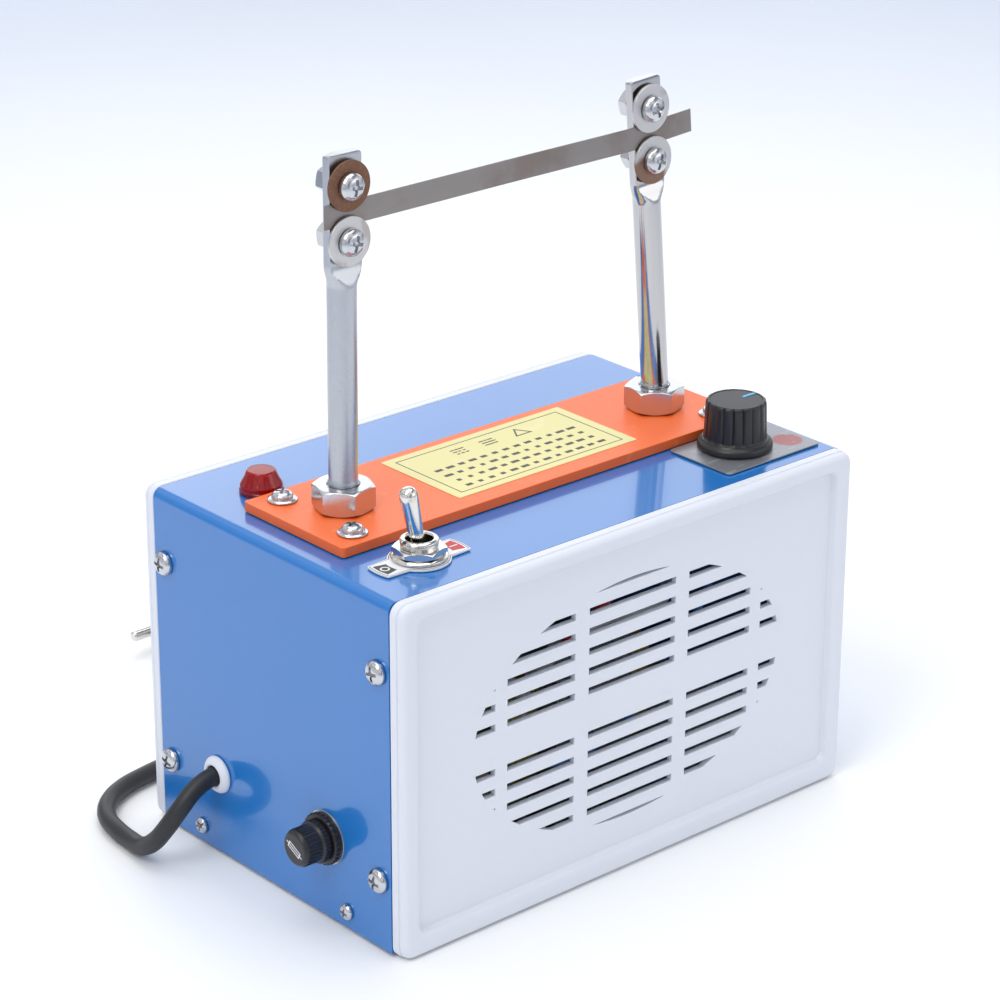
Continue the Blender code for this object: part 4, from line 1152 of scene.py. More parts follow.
def cord_piece():
    points = CORD_ROUTE + coil_line()
    points += [(40.0, 152.2, 9.0), (28.0, 152.5, 8.8), (20.0, 152.5, 8.8)]
    points = [Vector(point) * 0.001 for point in points]
    curve = bpy.data.curves.new("mains_cord", "CURVE")
    curve.dimensions = "3D"
    curve.bevel_depth = CORD_RADIUS * 0.001
    curve.bevel_resolution = 4
    curve.resolution_u = 5
    curve.use_fill_caps = True
    spline = curve.splines.new("BEZIER")
    spline.bezier_points.add(len(points) - 1)
    for target, point in zip(spline.bezier_points, points):
        target.co = point
        target.handle_left_type = target.handle_right_type = "AUTO"
    curve.materials.append(RUBBER)
    obj = bpy.data.objects.new("mains_cord", curve)
    bpy.context.scene.collection.objects.link(obj)
    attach(obj, "case")
    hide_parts("power_cord", "cord_coil")
    length = sum((b - a).length for a, b in zip(points, points[1:]))
    plug = plug_piece()
    tie = tie_piece()
    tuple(points[0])


def plug_piece():
    """A two-pin moulded plug on its side, with a ribbed sleeve round the cord."""
    profile = [(3.05, 0), (3.6, 0, 0.3)]
    for ring in range(6):
        start = 2.2 + 2.4 * ring
        radius = 3.75 + 0.2 * ring
        profile += [(radius, start), (radius - 0.5, start + 0.3, 0.2), (radius - 0.4, start + 1.2, 0.2)]
    profile += [(5.6, 17.6, 0.6), (6.6, 19.5), (3.05, 19.5)]
    sleeve = lathe(profile, 32, loop=True)
    half = [(7.0, 17.0), (11.0, 17.5), (17.0, 22.5), (17.5, 30.0), (16.6, 38.6), (15.6, 40.0)]
    outline = eased([(-x, y, 4.0) for x, y in half] + [(x, y, 4.0) for x, y in reversed(half)], True)
    flat = Matrix.Rotation(math.radians(90), 4, "Z")
    body = moved(prism(outline, -8.0, 8.0), turn=flat)
    rounded_body = loose("plug_blank", body)
    modifier = rounded_body.modifiers.new("rounded", "BEVEL")
    modifier.width = 2.6
    modifier.segments = 4
    modifier.limit_method = "ANGLE"
    modifier.angle_limit = math.radians(50)
    settle(rounded_body)
    body = bmesh.new()
    body.from_mesh(rounded_body.data)
    bpy.data.objects.remove(rounded_body)
    shells = [moved(sleeve, turn=TURN_X), body]
    plug = piece(
        "plug_body", join(*shells), RUBBER, ["mains_plug"],
        place=Matrix.Translation(PLUG_BACK),
    )
    pins = []
    for y in (-9.5, 9.5):
        pin = lathe([(0, 38), (2.0, 38), (2.0, 57.6), (1.4, 58.8, 0.4), (0, 59)], 24)
        pins.append(moved(pin, PLUG_BACK + Vector((0, y, 0)), TURN_X))
    piece("plug_pins", join(*pins), NICKEL).parent = plug
    return plug


def tie_piece():
    """A flat strap round the bundle of turns."""
    angle = math.radians(24)
    inner = rounded(10.2, -0.05, 12.75, 3.2, 5)
    outer = rounded(10.8, 0.0, 13.3, 3.6, 5)
    bm = skin([[(x, width, y) for x, y in outer] for width in (-1.6, 1.6)], close_ends=False)
    hollow = skin([[(x, width, y) for x, y in inner] for width in (1.6, -1.6)], close_ends=False)
    bm = join(bm, hollow)
    bmesh.ops.bridge_loops(
        bm, edges=[e for e in bm.edges if e.is_boundary and e.verts[0].co.y > 0]
    )
    bmesh.ops.bridge_loops(
        bm, edges=[e for e in bm.edges if e.is_boundary and e.verts[0].co.y < 0]
    )
    knot = prism(rounded(2.2, -1.9, 1.9, 0.8, 3), 12.8, 14.4)
    place = Matrix.Translation((*COIL_CENTRE, 0.05)) @ Matrix.Rotation(angle, 4, "Z")
    place = place @ Matrix.Translation((33.0, 0, 0))
    return piece("coil_tie", join(bm, knot), TIE_PLASTIC, place=place)


make_camera()
cord_piece()


# ---------------------------------------------------------------- case


def across_x(radius, y, z, x, segments=24):
    """A short bar along X through a side wall at x."""
    bar = prism(arc((0, 0), radius, 0, 360 - 360 / segments, segments - 1), -6, 6)
    return moved(bar, (x, y, z), TURN_X)


def down(radius, x, y, segments=40):
    """A short bar down through the top of the case."""
    bar = prism(arc((0, 0), radius, 0, 360 - 360 / segments, segments - 1), -6, 6)
    return moved(bar, (x, y, CASE_TOP))


def case_shell():
    """The bent steel cover, with its holes."""
    inner = BEND_RADIUS - SHEET
    corner = SIDE - BEND_RADIUS
    top = CASE_TOP - BEND_RADIUS
    outline = [(SIDE, CASE_BOTTOM)] + arc((corner, top), BEND_RADIUS, 0, 90, 10)
    outline += arc((-corner, top), BEND_RADIUS, 90, 180, 10) + [(-SIDE, CASE_BOTTOM)]
    outline += [(SHEET - SIDE, CASE_BOTTOM)] + arc((-corner, top), inner, 180, 90, 10)
    outline += arc((corner, top), inner, 90, 0, 10) + [(SIDE - SHEET, CASE_BOTTOM)]
    shell = moved(prism(outline, -CASE_DEPTH / 2, CASE_DEPTH / 2), turn=TURN_Y)
    lamp, switch, knob = spot("lamp_lens"), spot("toggle_nut"), spot("knob")
    holes = [down(5.0, lamp.x, lamp.y), down(6.3, switch.x, switch.y), down(4.0, knob.x, knob.y)]
    for side in ("left", "right"):
        nut = spot(f"post_{side}_nut")
        holes.append(down(12.0, nut.x, nut.y))
    for number in range(1, 5):
        screw = spot(f"plate_screw_{number}")
        holes.append(down(1.8, screw.x, screw.y, 16))
        screw = spot(f"tray_screw_{number}")
        holes.append(across_x(1.7, screw.y, screw.z, math.copysign(SIDE, screw.x), 16))
    for number in range(1, 9):
        screw = spot(f"bezel_screw_{number}")
        holes.append(across_x(2.2, screw.y, screw.z, math.copysign(SIDE, screw.x), 16))
    for radius, node in ((5.1, "cord_bushing"), (6.7, "fuse_holder")):
        place = spot(node)
        holes.append(across_x(radius, place.y, place.z, -SIDE, 40))
    piece("case_cover_shell", carved(shell, join(*holes)), ENAMEL, ["case_cover"])


def bezel_profile():
    """(outline, distance out from the edge of the case) from behind the panel round to its face."""
    inset = SHEET + GAP
    skirt, low, high = SIDE - inset, 1.8, CASE_TOP - inset
    wall, length, front, panel = 2.4, 10.7, BEZEL_DEPTH, 2.0

    def outer(trim):
        return rounded(SIDE - trim, trim, BEZEL_HEIGHT - trim, 4.0 - trim * 0.4, 9)

    def recess(grow):
        half_width, bottom, top = RECESS
        return rounded(half_width + grow, bottom - grow, top + grow, 2.5 + grow, 9)

    inside = rounded(skirt - wall, low + wall, high - wall, 1.0, 9)
    sleeve = rounded(skirt, low, high, 2.0, 9)
    rings = [
        (inside, front - RECESS_DEPTH - panel),
        (inside, -length),
        (sleeve, -length),
        (sleeve, GAP),
        (outer(0.25), GAP),
        (outer(0.0), GAP + 0.25),
        (outer(0.0), 2.75),
        (outer(0.12), 3.0),
        (outer(0.5), 3.2),
        (outer(0.5), 3.55),
        (outer(0.28), 3.75),
    ]
    for step in range(7):
        angle = math.radians(15 * step)
        trim = 0.25 + 1.9 * (1 - math.cos(angle))
        rings.append((outer(trim), 4.0 + 1.95 * math.sin(angle)))
    rings.append((recess(3.2), front))
    for step in range(1, 6):
        angle = math.radians(18 * step)
        rings.append((recess(3.0 - 2.3 * math.sin(angle)), front - 1.15 * (1 - math.cos(angle))))
    rings.append((recess(0.35), front - 1.8))
    rings.append((recess(0.1), front - RECESS_DEPTH + 0.15))
    rings.append((recess(-0.3), front - RECESS_DEPTH))
    return rings


def bezels():
    """The front moulding and the same one turned round for the rear."""
    blank = skin([[(x, y, depth) for x, y in outline] for outline, depth in bezel_profile()])
    moulding = grown("bezel", VENT, WHITE_MOULDING, {}, loose("bezel", blank))
    bmesh.ops.recalc_face_normals(moulding, faces=moulding.faces)
    screws = [spot(f"bezel_screw_{number}") for number in range(1, 9)]
    holes = [across_x(2.2, at.y, at.z, math.copysign(SIDE, at.x), 16) for at in screws]
    holes = loose("screw_holes", join(*holes))
    for name, facing in (("front_bezel", -1), ("rear_bezel", 1)):
        turn = TURN_Y if facing < 0 else Matrix.Rotation(math.pi, 4, "Z") @ TURN_Y
        made = moved(moulding.copy(), (0, facing * CASE_DEPTH / 2, 0), turn)
        tool = bmesh.new()
        tool.from_mesh(holes.data)
        made = carved(made, tool)
        piece(name + "_moulding", made, WHITE_MOULDING, [name])
    moulding.free()
    bpy.data.objects.remove(holes)


def screw_blank(head, height, shank, length, flange=0.0):
    profile = [(0, -length), (shank - 0.4, -length), (shank, 0.5 - length), (shank, 0)]
    lift = 0.0
    if flange:
        profile += [(flange, 0), (flange, 0.35, 0.2), (head + 0.5, 0.75, 0.4)]
        lift = 0.7
    profile += [(head - 0.05, lift), (head, lift + height * 0.42, height * 0.3)]
    profile += [(head * 0.72, lift + height * 0.86, head * 0.3), (head * 0.34, lift + height * 0.98)]
    profile += [(0, lift + height)]
    return loose("screw_blank", lathe(profile, 28))


def screw_set(name, nodes, blank, sizes, places_and_ways, seed):
    """One mesh of every screw of a size, each head's cross turned by chance."""
    chance = random.Random(seed)
    spots = [(place, way, chance.uniform(0, math.pi)) for place, way in places_and_ways]
    made = copies(name, SCREWS, BRIGHT_ZINC, spots, {"Blank": blank, **sizes}, blank)
    piece(name, made, BRIGHT_ZINC, nodes)


def case_screws():
    for kind, count, blank, sizes in (
        ("bezel_screw", 8, (3.9, 2.5, 1.8, 6.5),
         {"Recess Length": 4.6, "Recess Width": 1.0, "Recess Depth": 1.3, "Head Height": 2.5}),
        ("tray_screw", 4, (2.6, 1.7, 1.35, 5.0),
         {"Recess Length": 3.0, "Recess Width": 0.7, "Recess Depth": 0.9, "Head Height": 1.7}),
    ):
        nodes = [f"{kind}_{number}" for number in range(1, count + 1)]
        facings = []
        for node in nodes:
            side = math.copysign(1, spot(node).x)
            facings.append(((side * (SIDE + GAP), spot(node).y, spot(node).z), (side, 0, 0)))
        screw_set(kind + "s", nodes, screw_blank(*blank), sizes, facings, 11)
    nodes = [f"plate_screw_{number}" for number in range(1, 5)]
    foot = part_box("insulator_plate")[1].z * 1000 + GAP
    facings = [((spot(node).x, spot(node).y, foot), (0, 0, 1)) for node in nodes]
    blank = screw_blank(3.4, 2.2, 1.5, 9.0, 4.65)
    sizes = {"Recess Length": 4.2, "Recess Width": 0.9, "Recess Depth": 1.2, "Head Height": 2.85}
    screw_set("plate_screws", nodes, blank, sizes, facings, 5)


case_shell()
bezels()
case_screws()


# ---------------------------------------------------------------- top board and notice


def top_board():
    low, high = (corner * 1000 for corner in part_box("insulator_plate"))
    centre = (low + high) / 2
    half_x, half_y = (high.x - low.x) / 2, (high.y - low.y) / 2
    board = prism(rounded(half_x, -half_y, half_y, 1.2, 5), low.z, high.z)
    board = moved(board, (centre.x, centre.y, 0))
    holes = [down(5.7, spot(f"post_{s}_nut").x, 0.0, 32) for s in ("left", "right")]
    holes += [
        down(2.0, spot(f"plate_screw_{n}").x, spot(f"plate_screw_{n}").y, 20) for n in range(1, 5)
    ]
    board = carved(board, join(*holes))
    piece("top_board", board, ORANGE_BOARD, ["insulator_plate"], bevel=0.25)
    notice(high.z)


def frame_strip(half_x, half_y, width, low, high):
    """A thin rectangular line."""
    outer = [(half_x, half_y), (-half_x, half_y), (-half_x, -half_y), (half_x, -half_y)]
    inner = [(x - math.copysign(width, x), y - math.copysign(width, y)) for x, y in outer]
    rings = [
        [(x, y, low) for x, y in outer],
        [(x, y, high) for x, y in outer],
        [(x, y, high) for x, y in inner],
        [(x, y, low) for x, y in inner],
    ]
    return skin(rings, loop=True)


def notice(top):
    """A plain foil notice: a border, a triangle, a heading and rows of short printed bars."""
    centre = (4.65, 1.6)
    low = top + 0.02
    face = low + 0.14
    foil = moved(prism(rounded(37.0, -18.8, 18.8, 0.6, 3), low, face), (*centre, 0))
    piece("notice_plate", foil, NOTICE_FOIL)
    ink = [moved(frame_strip(33.6, 15.9, 0.35, face - 0.02, face + 0.03), (*centre, 0))]
    triangle = [(0.0, 3.2), (-3.5, -2.4), (3.5, -2.4)]
    small = [(x * 0.72, y * 0.72 - 0.12) for x, y in triangle]
    rings = [[(x, y, z) for x, y in shape] for shape, z in (
        (triangle, face - 0.02), (triangle, face + 0.03), (small, face + 0.03), (small, face - 0.02))]
    ink.append(moved(skin(rings, loop=True), (centre[0] + 13.0, centre[1] + 10.2, 0)))
    for x in (-12.0, 0.0):
        heading = grown("heading", DASHES, DARK_INK, {
            "Columns": 3, "Rows": 3, "Width": 3.6, "Depth": 3.4, "Dash Length": 1.7,
            "Dash Height": 0.6, "Thickness": 0.05, "Seed": 3 + int(x)})
        ink.append(moved(heading, (centre[0] + x, centre[1] + 10.2, face + 0.005)))
    rows = grown("rows", DASHES, DARK_INK, {
        "Columns": 13, "Rows": 4, "Width": 55.0, "Depth": 14.4, "Dash Length": 2.7,
        "Dash Height": 1.5, "Thickness": 0.05, "Seed": 9})
    ink.append(moved(rows, (centre[0], centre[1] - 5.2, face + 0.005)))
    piece("notice_print", join(*ink), DARK_INK)


top_board()


# ---------------------------------------------------------------- posts and blade


def lean(side):
    """The turn of a post above its bend, and where its clamp's middle is."""
    y_turn, x_turn = (math.radians(angle) for angle in LEANS[side])
    turn = Matrix.Rotation(y_turn, 4, "Y") @ Matrix.Rotation(x_turn, 4, "X")
    bend = Vector((0, 0, POST_BEND))
    foot = Vector((spot(f"post_{side}_nut").x, 0, 0))
    middle = foot + turn @ (Vector((0, 0, CLAMP_Z)) - bend) + bend
    return turn, foot, middle


def post_ring(height, width, front, back, count=48):
    """A round section whose front is cut flat at y = -front."""
    points = []
    for step in range(count):
        angle = 2 * math.pi * step / count
        y = math.sin(angle) * (back if math.sin(angle) > 0 else width)
        points.append((width * math.cos(angle), max(-front, y), height))
    return points


def post(side):
    """A rod bent above its nut, pressed flat and drilled at its top, and threaded at its foot."""
    turn, foot, middle = lean(side)
    bend = Vector((0, 0, POST_BEND))
    round_levels = [
        (POST_FOOT, 3.9),
        (POST_FOOT + 0.7, 4.45),
        (POST_BEND - 1.6, 4.45),
        (POST_BEND - 0.9, 4.75),
        (POST_BEND, POST_RADIUS),
        (160.0, POST_RADIUS),
        (FLAT_START - PRESSED_LENGTH, POST_RADIUS),
    ]
    levels = [(height, radius, radius, radius) for height, radius in round_levels]
    flat = (FLAT_HALF_WIDTH, FLAT_FRONT, FLAT_BACK)
    for step in range(1, 9):
        share = step / 8
        soft = share * share * (3 - 2 * share)
        section = [POST_RADIUS + (size - POST_RADIUS) * soft for size in flat]
        levels.append((FLAT_START - PRESSED_LENGTH * (1 - share), *section))
    levels += [
        (POST_TOP - 0.9, *flat),
        (POST_TOP - 0.3, 6.15, 2.1, 2.2),
        (POST_TOP, 5.5, 1.8, 1.8),
    ]
    rings = []
    for height, width, front, back in levels:
        ring = [Vector(point) for point in post_ring(height, width, front, back)]
        if height > POST_BEND:
            ring = [turn @ (point - bend) + bend for point in ring]
        rings.append([point + foot for point in ring])
    bars = [
        moved(prism(arc((0, 0), CLAMP_HOLE, 0, 345, 23), -9, 9), (0, 0, z), TURN_Y)
        for z in (-CLAMP_SCREW, CLAMP_SCREW)
    ]
    holes = moved(join(*bars), middle, turn)
    rod = carved(skin(rings), holes)
    ridge = copies(
        "thread", THREAD, None, [((foot.x, 0.0, 102.2), (0, 0, 1), 0.0)],
        {"Radius": 4.5, "Pitch": 1.5, "Length": 25.0, "Ridge": 0.5},
    )
    material = FROSTED_ZINC if side == "left" else DRAWN_ZINC
    piece(f"{side}_post", join(rod, ridge), material, [f"post_{side}"])


def fixings():
    """Post nuts, clamp nuts, washers and clamp screws."""
    spots, locknuts, clamp_nuts, clamp_screws = [], [], [], []
    spins = {"left": 12.0, "right": 20.0}
    for side in ("left", "right"):
        turn, foot, middle = lean(side)
        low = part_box(f"post_{side}_nut")[0].z * 1000
        spots.append(((foot.x, 0, low), (0, 0, 1), math.radians(spins[side])))
        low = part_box(f"post_{side}_locknut")[0].z * 1000
        locknuts.append(((foot.x, 0, low), (0, 0, 1), 0.0))
        out = turn.to_3x3() @ Vector((0, -1, 0))
        for label, z in (("lower", -CLAMP_SCREW), ("upper", CLAMP_SCREW)):
            place = middle + turn @ Vector((0, FLAT_BACK + GAP, z))
            clamp_nuts.append((place, -out, 0.4 + 0.3 * len(clamp_nuts)))
            behind = FLAT_FRONT + 2 * GAP + BLADE_THICKNESS
            place = middle + turn @ Vector((0, -behind - WASHER_THICKNESS - GAP, z))
            clamp_screws.append((place, out))
            profile = [
                (CLAMP_HOLE, 0, 0.1),
                (WASHER_RADIUS, 0, 0.3),
                (WASHER_RADIUS, WASHER_THICKNESS, 0.25),
                (CLAMP_HOLE, WASHER_THICKNESS, 0.1),
            ]
            washer = lathe(profile, 48, loop=True)
            at = turn @ Matrix.Rotation(math.radians(90), 4, "X")
            place = middle + turn @ Vector((0, -behind, z))
            node = f"blade_{side}_washer_{label}"
            face = place * 0.001
            material = {
                ("left", "upper"): tarnished("browned_washer", face, 0.012, 1.0),
                ("right", "lower"): tarnished(
                    "part_browned_washer", face + Vector((-0.003, 0, -0.006)), 0.0068, 0.9
                ),
            }.get((side, label), WASHER_ZINC)
            piece(
                f"clamp_washer_{side}_{label}", washer, material, [node],
                place=Matrix.Translation(place) @ at,
            )
    sizes = {"Across Flats": 17.0, "Height": 7.8, "Bore": 5.1, "Chamfer": 0.5}
    made = copies("post_nuts", NUTS, BRIGHT_ZINC, spots, sizes)
    nodes = ["post_left_nut", "post_right_nut"]
    piece("post_nuts", made, BRIGHT_ZINC, nodes, bevel=0.12)
    made = copies("post_locknuts", NUTS, BRIGHT_ZINC, locknuts, {**sizes, "Height": 6.0})
    nodes = ["post_left_locknut", "post_right_locknut"]
    piece("post_locknuts", made, BRIGHT_ZINC, nodes)
    sizes = {"Across Flats": 8.0, "Height": 3.8, "Bore": 2.5, "Chamfer": 0.25}
    made = copies("clamp_nuts", NUTS, BRIGHT_ZINC, clamp_nuts, sizes)
    nodes = [f"blade_{s}_nut_{l}" for s in ("left", "right") for l in ("lower", "upper")]
    piece("clamp_nuts", made, BRIGHT_ZINC, nodes)
    blank = screw_blank(4.3, 3.0, 2.3, 12.4)
    sizes = {"Recess Length": 5.0, "Recess Width": 1.1, "Recess Depth": 1.5, "Head Height": 3.0}
    nodes = [node.replace("nut", "screw") for node in nodes]
    screw_set("clamp_screws", nodes, blank, sizes, clamp_screws, 23)


def blade_strip():
    """A thin strip that follows each post's flat and runs straight between them."""
    offset = -FLAT_FRONT - GAP - BLADE_THICKNESS / 2
    (left_turn, _, left), (right_turn, _, right) = lean("left"), lean("right")
    start = left + left_turn @ Vector((0, offset, 0))
    end = right + right_turn @ Vector((0, offset, 0))
    left_out = left_turn.to_3x3() @ Vector((1, 0, 0))
    right_out = right_turn.to_3x3() @ Vector((1, 0, 0))
    middle = (start + end) / 2 + Vector((0, -BLADE_BOW, 0))
    reach = WASHER_RADIUS + 1.0
    near, far = start + left_out * reach, end - right_out * reach
    line = [start + left_out * (BLADE_ENDS[0] - start.x), start, near]
    line += [near.lerp(middle, step / 8) for step in range(1, 8)] + [middle]
    line += [middle.lerp(far, step / 8) for step in range(1, 8)]
    line += [far, end, end + right_out * (BLADE_ENDS[1] - end.x)]
    left_up = left_turn.to_3x3() @ Vector((0, 0, 1))
    right_up = right_turn.to_3x3() @ Vector((0, 0, 1))
    rings = []
    section = rounded(BLADE_THICKNESS / 2, -BLADE_HALF_WIDTH, BLADE_HALF_WIDTH, 0.09, 2)
    for point in line:
        share = min(1.0, max(0.0, (point.x - near.x) / (far.x - near.x)))
        up = left_up.lerp(right_up, share).normalized()
        out = Vector((1, 0, 0)).cross(up).normalized()
        rings.append([point + out * u + up * v for u, v in section])
    piece("heated_blade", skin(rings), HEATED_STEEL, ["blade"])


post("left")
post("right")
fixings()
blade_strip()


# ---------------------------------------------------------------- lamp, switch, dial


def lamp():
    place = Vector((spot("lamp_lens").x, spot("lamp_lens").y, CASE_TOP + GAP))
    profile = [
        (0, 0), (6.9, 0, 0.15), (6.9, 1.1, 0.25), (6.65, 1.35, 0.1), (6.65, 2.7, 0.5),
        (5.5, 4.7, 1.1), (4.75, 6.5, 0.5), (4.35, 7.2, 0.3), (0, 7.2),
    ]
    piece("lamp_lens_moulding", lathe(profile, 64), RED_LENS, ["lamp_lens"],
          place=Matrix.Translation(place))
    core = lathe([(0, 0.6), (5.2, 0.6, 0.2), (4.6, 3.2, 0.4), (3.6, 5.9, 0.3), (0, 5.9)], 40)
    piece("lamp_core", core, LENS_CORE, place=Matrix.Translation(place))


def switch():
    centre = Vector((spot("toggle_nut").x, spot("toggle_nut").y, CASE_TOP))
    stand = Matrix.Translation(centre)
    shell = lathe(
        [
            (0, -22), (6.2, -22, 0.4), (6.2, -1.8), (5.5, -1.8), (5.5, 6.1, 0.1), (5.9, 6.35, 0.2),
            (5.9, 6.8, 0.4), (5.2, 7.3, 0.5), (4.35, 7.25, 0.3), (4.0, 6.6), (4.0, -0.6), (0, -0.6),
        ],
        64,
    )
    shell = carved(shell, block((3.0, 1.5, 6.4), (-6.1, 0, 5.6)))
    housing = block((18, 13, 17.4), (0, 0, -12.3))
    ridge = copies("thread", THREAD, None, [((0, 0, 0.6), (0, 0, 1), 0.9)],
                   {"Radius": 5.5, "Pitch": 0.8, "Length": 5.4, "Ridge": 0.36})
    piece("switch_bushing", join(shell, ridge, housing), NICKEL, ["toggle_body"],
          place=stand)
    hexed = copies("nut", NUTS, None, [((0, 0, 2.4), (0, 0, 1), math.radians(18))],
                   {"Across Flats": 14.4, "Height": 2.3, "Bore": 5.75, "Chamfer": 0.35})
    collar = lathe([(6.0, 1.1), (8.3, 1.1, 0.2), (8.6, 1.5, 0.2), (8.6, 1.9, 0.2),
                    (7.9, 2.35, 0.3), (6.0, 2.38)], 64, loop=True)
    piece("switch_nut", join(hexed, collar), NICKEL, ["toggle_nut"], place=stand)
    profile = [
        (0, -2.6), (1.6, -2.1, 0.5), (2.6, -0.4, 0.8), (2.3, 1.8, 0.6), (2.15, 4.0, 2.0),
        (2.85, 18.6, 0.6), (2.75, 19.9, 0.8), (2.0, 21.1, 0.8), (1.0, 21.55, 0.5), (0, 21.6),
    ]
    tilt = Matrix.Rotation(math.radians(-SWITCH_TILT), 4, "Y")
    place = Matrix.Translation(centre + Vector((0, 0, SWITCH_PIVOT))) @ tilt
    piece("switch_lever", lathe(profile, 40), NICKEL, ["toggle_lever"], "toggle_lever",
          place)
    switch_label(stand)


def sector(inner, outer, half_angle, facing, steps=8):
    """A ring sector about the X axis, for a label's tab. facing is 0 or 180 degrees."""
    points = arc((0, 0), outer, facing - half_angle, facing + half_angle, steps)
    return points + arc((0, 0), inner, facing + half_angle, facing - half_angle, steps)


def switch_label(stand):
    """A white label with a dark edge, a black tab marked O and a red tab marked I."""
    half = 17.0
    outline = []
    for facing in (0, 180):
        outline += arc((0, 0), 16.4, facing - half, facing + half, 10)
        outline += arc((0, 0), 9.5, facing + half + 16, facing + 180 - half - 16, 24)
    plate = carved(prism(outline, GAP, GAP + 0.5), prism(arc((0, 0), 6.3, 0, 350, 35), -1, 3))
    piece("switch_label", plate, WHITE_LABEL, ["toggle_plate"], place=stand)
    face = GAP + 0.5
    rim = []
    for shrink in (0.35, 0.6):
        line = []
        for facing in (0, 180):
            line += arc((0, 0), 16.4 - shrink, facing - half + 1.2, facing + half - 1.2, 10)
            line += arc((0, 0), 9.5 - shrink, facing + half + 15, facing + 180 - half - 15, 24)
        rim.append(line)
    edge = skin([[(x, y, z) for x, y in rim[i]] for i, z in
                 ((0, face - 0.1), (0, face + 0.03), (1, face + 0.03), (1, face - 0.1))], loop=True)
    black = prism(sector(10.9, 15.2, 13.5, 180), face - 0.1, face + 0.03)
    piece("switch_label_black", join(edge, black), DARK_INK, place=stand)
    red = prism(sector(10.9, 15.2, 13.5, 0), face - 0.1, face + 0.03)
    piece("switch_label_red", red, RED_INK, place=stand)
    loop = [arc((-13.05, 0), radius, 0, 345, 23) for radius in (1.5, 1.0)]
    mark = skin([[(x, y, z) for x, y in loop[i]] for i, z in
                 ((0, face), (0, face + 0.06), (1, face + 0.06), (1, face))], loop=True)
    bar = block((3.0, 0.55, 0.06), (13.05, 0, face + 0.03))
    piece("switch_label_marks", join(mark, bar), WHITE_LABEL, place=stand)


def dial():
    low, high = (corner * 1000 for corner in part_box("dial_plate"))
    centre = (low + high) / 2
    half_x, half_y = (high.x - low.x) / 2, (high.y - low.y) / 2
    foil = prism(rounded(half_x, -half_y, half_y, 1.6, 6), low.z, high.z)
    knob_spot = spot("knob")
    foil = carved(moved(foil, (centre.x, centre.y, 0)), down(4.0, knob_spot.x, knob_spot.y))
    piece("dial_foil_plate", foil, DIAL_FOIL, ["dial_plate"], bevel=0.1)
    knob(Vector((knob_spot.x, knob_spot.y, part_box("knob")[0].z * 1000)))


def knob(foot):
    """A fluted cap on a skirt. Heights are from its underside."""
    count, steps = 18, 108

    def circle(radius, height, groove=0.0):
        ring = []
        for step in range(steps):
            angle = 2 * math.pi * step / steps
            near = abs(((step * count / steps) + 0.5) % 1 - 0.5) * 2
            dip = groove * max(0.0, 1 - near / 0.42) ** 1.4
            ring.append(((radius - dip) * math.cos(angle), (radius - dip) * math.sin(angle), height))
        return ring

    rings = [
        circle(3.3, 11.6), circle(3.3, 2.6), circle(7.5, 2.6), circle(7.5, 0.15), circle(7.7, 0),
        circle(11.7, 0), circle(12.0, 0.3), circle(12.0, 1.2), circle(11.85, 1.7),
        circle(11.5, 2.1), circle(11.0, 2.4), circle(10.8, 2.7), circle(10.6, 3.0),
        circle(10.2, 3.15), circle(10.05, 3.4, 0.1), circle(10.0, 3.9, 0.55),
        circle(9.65, 14.3, 0.6), circle(9.55, 14.9, 0.55), circle(9.35, 15.3, 0.4),
        circle(9.0, 15.55, 0.15), circle(8.7, 15.6), circle(8.55, 15.55), circle(8.4, 15.3),
    ]
    place = Matrix.Translation(foot)
    piece("knob_cap", skin(rings), BLACK_PLASTIC, ["knob"], "temperature_knob",
          place)
    disc = lathe([(0, 15.1), (8.3, 15.1), (8.3, 15.42, 0.08), (0, 15.5)], 64)
    piece("knob_top_disc", disc, KNOB_TOP, (), "temperature_knob", place)
    pointer = block((5.4, 1.0, 0.5), (5.55, 0, 15.42))
    piece("knob_pointer", pointer, POINTER_BLUE, (), "temperature_knob", place,
          0.08)


lamp()
switch()
dial()


# ---------------------------------------------------------------- fuse and cord bushing


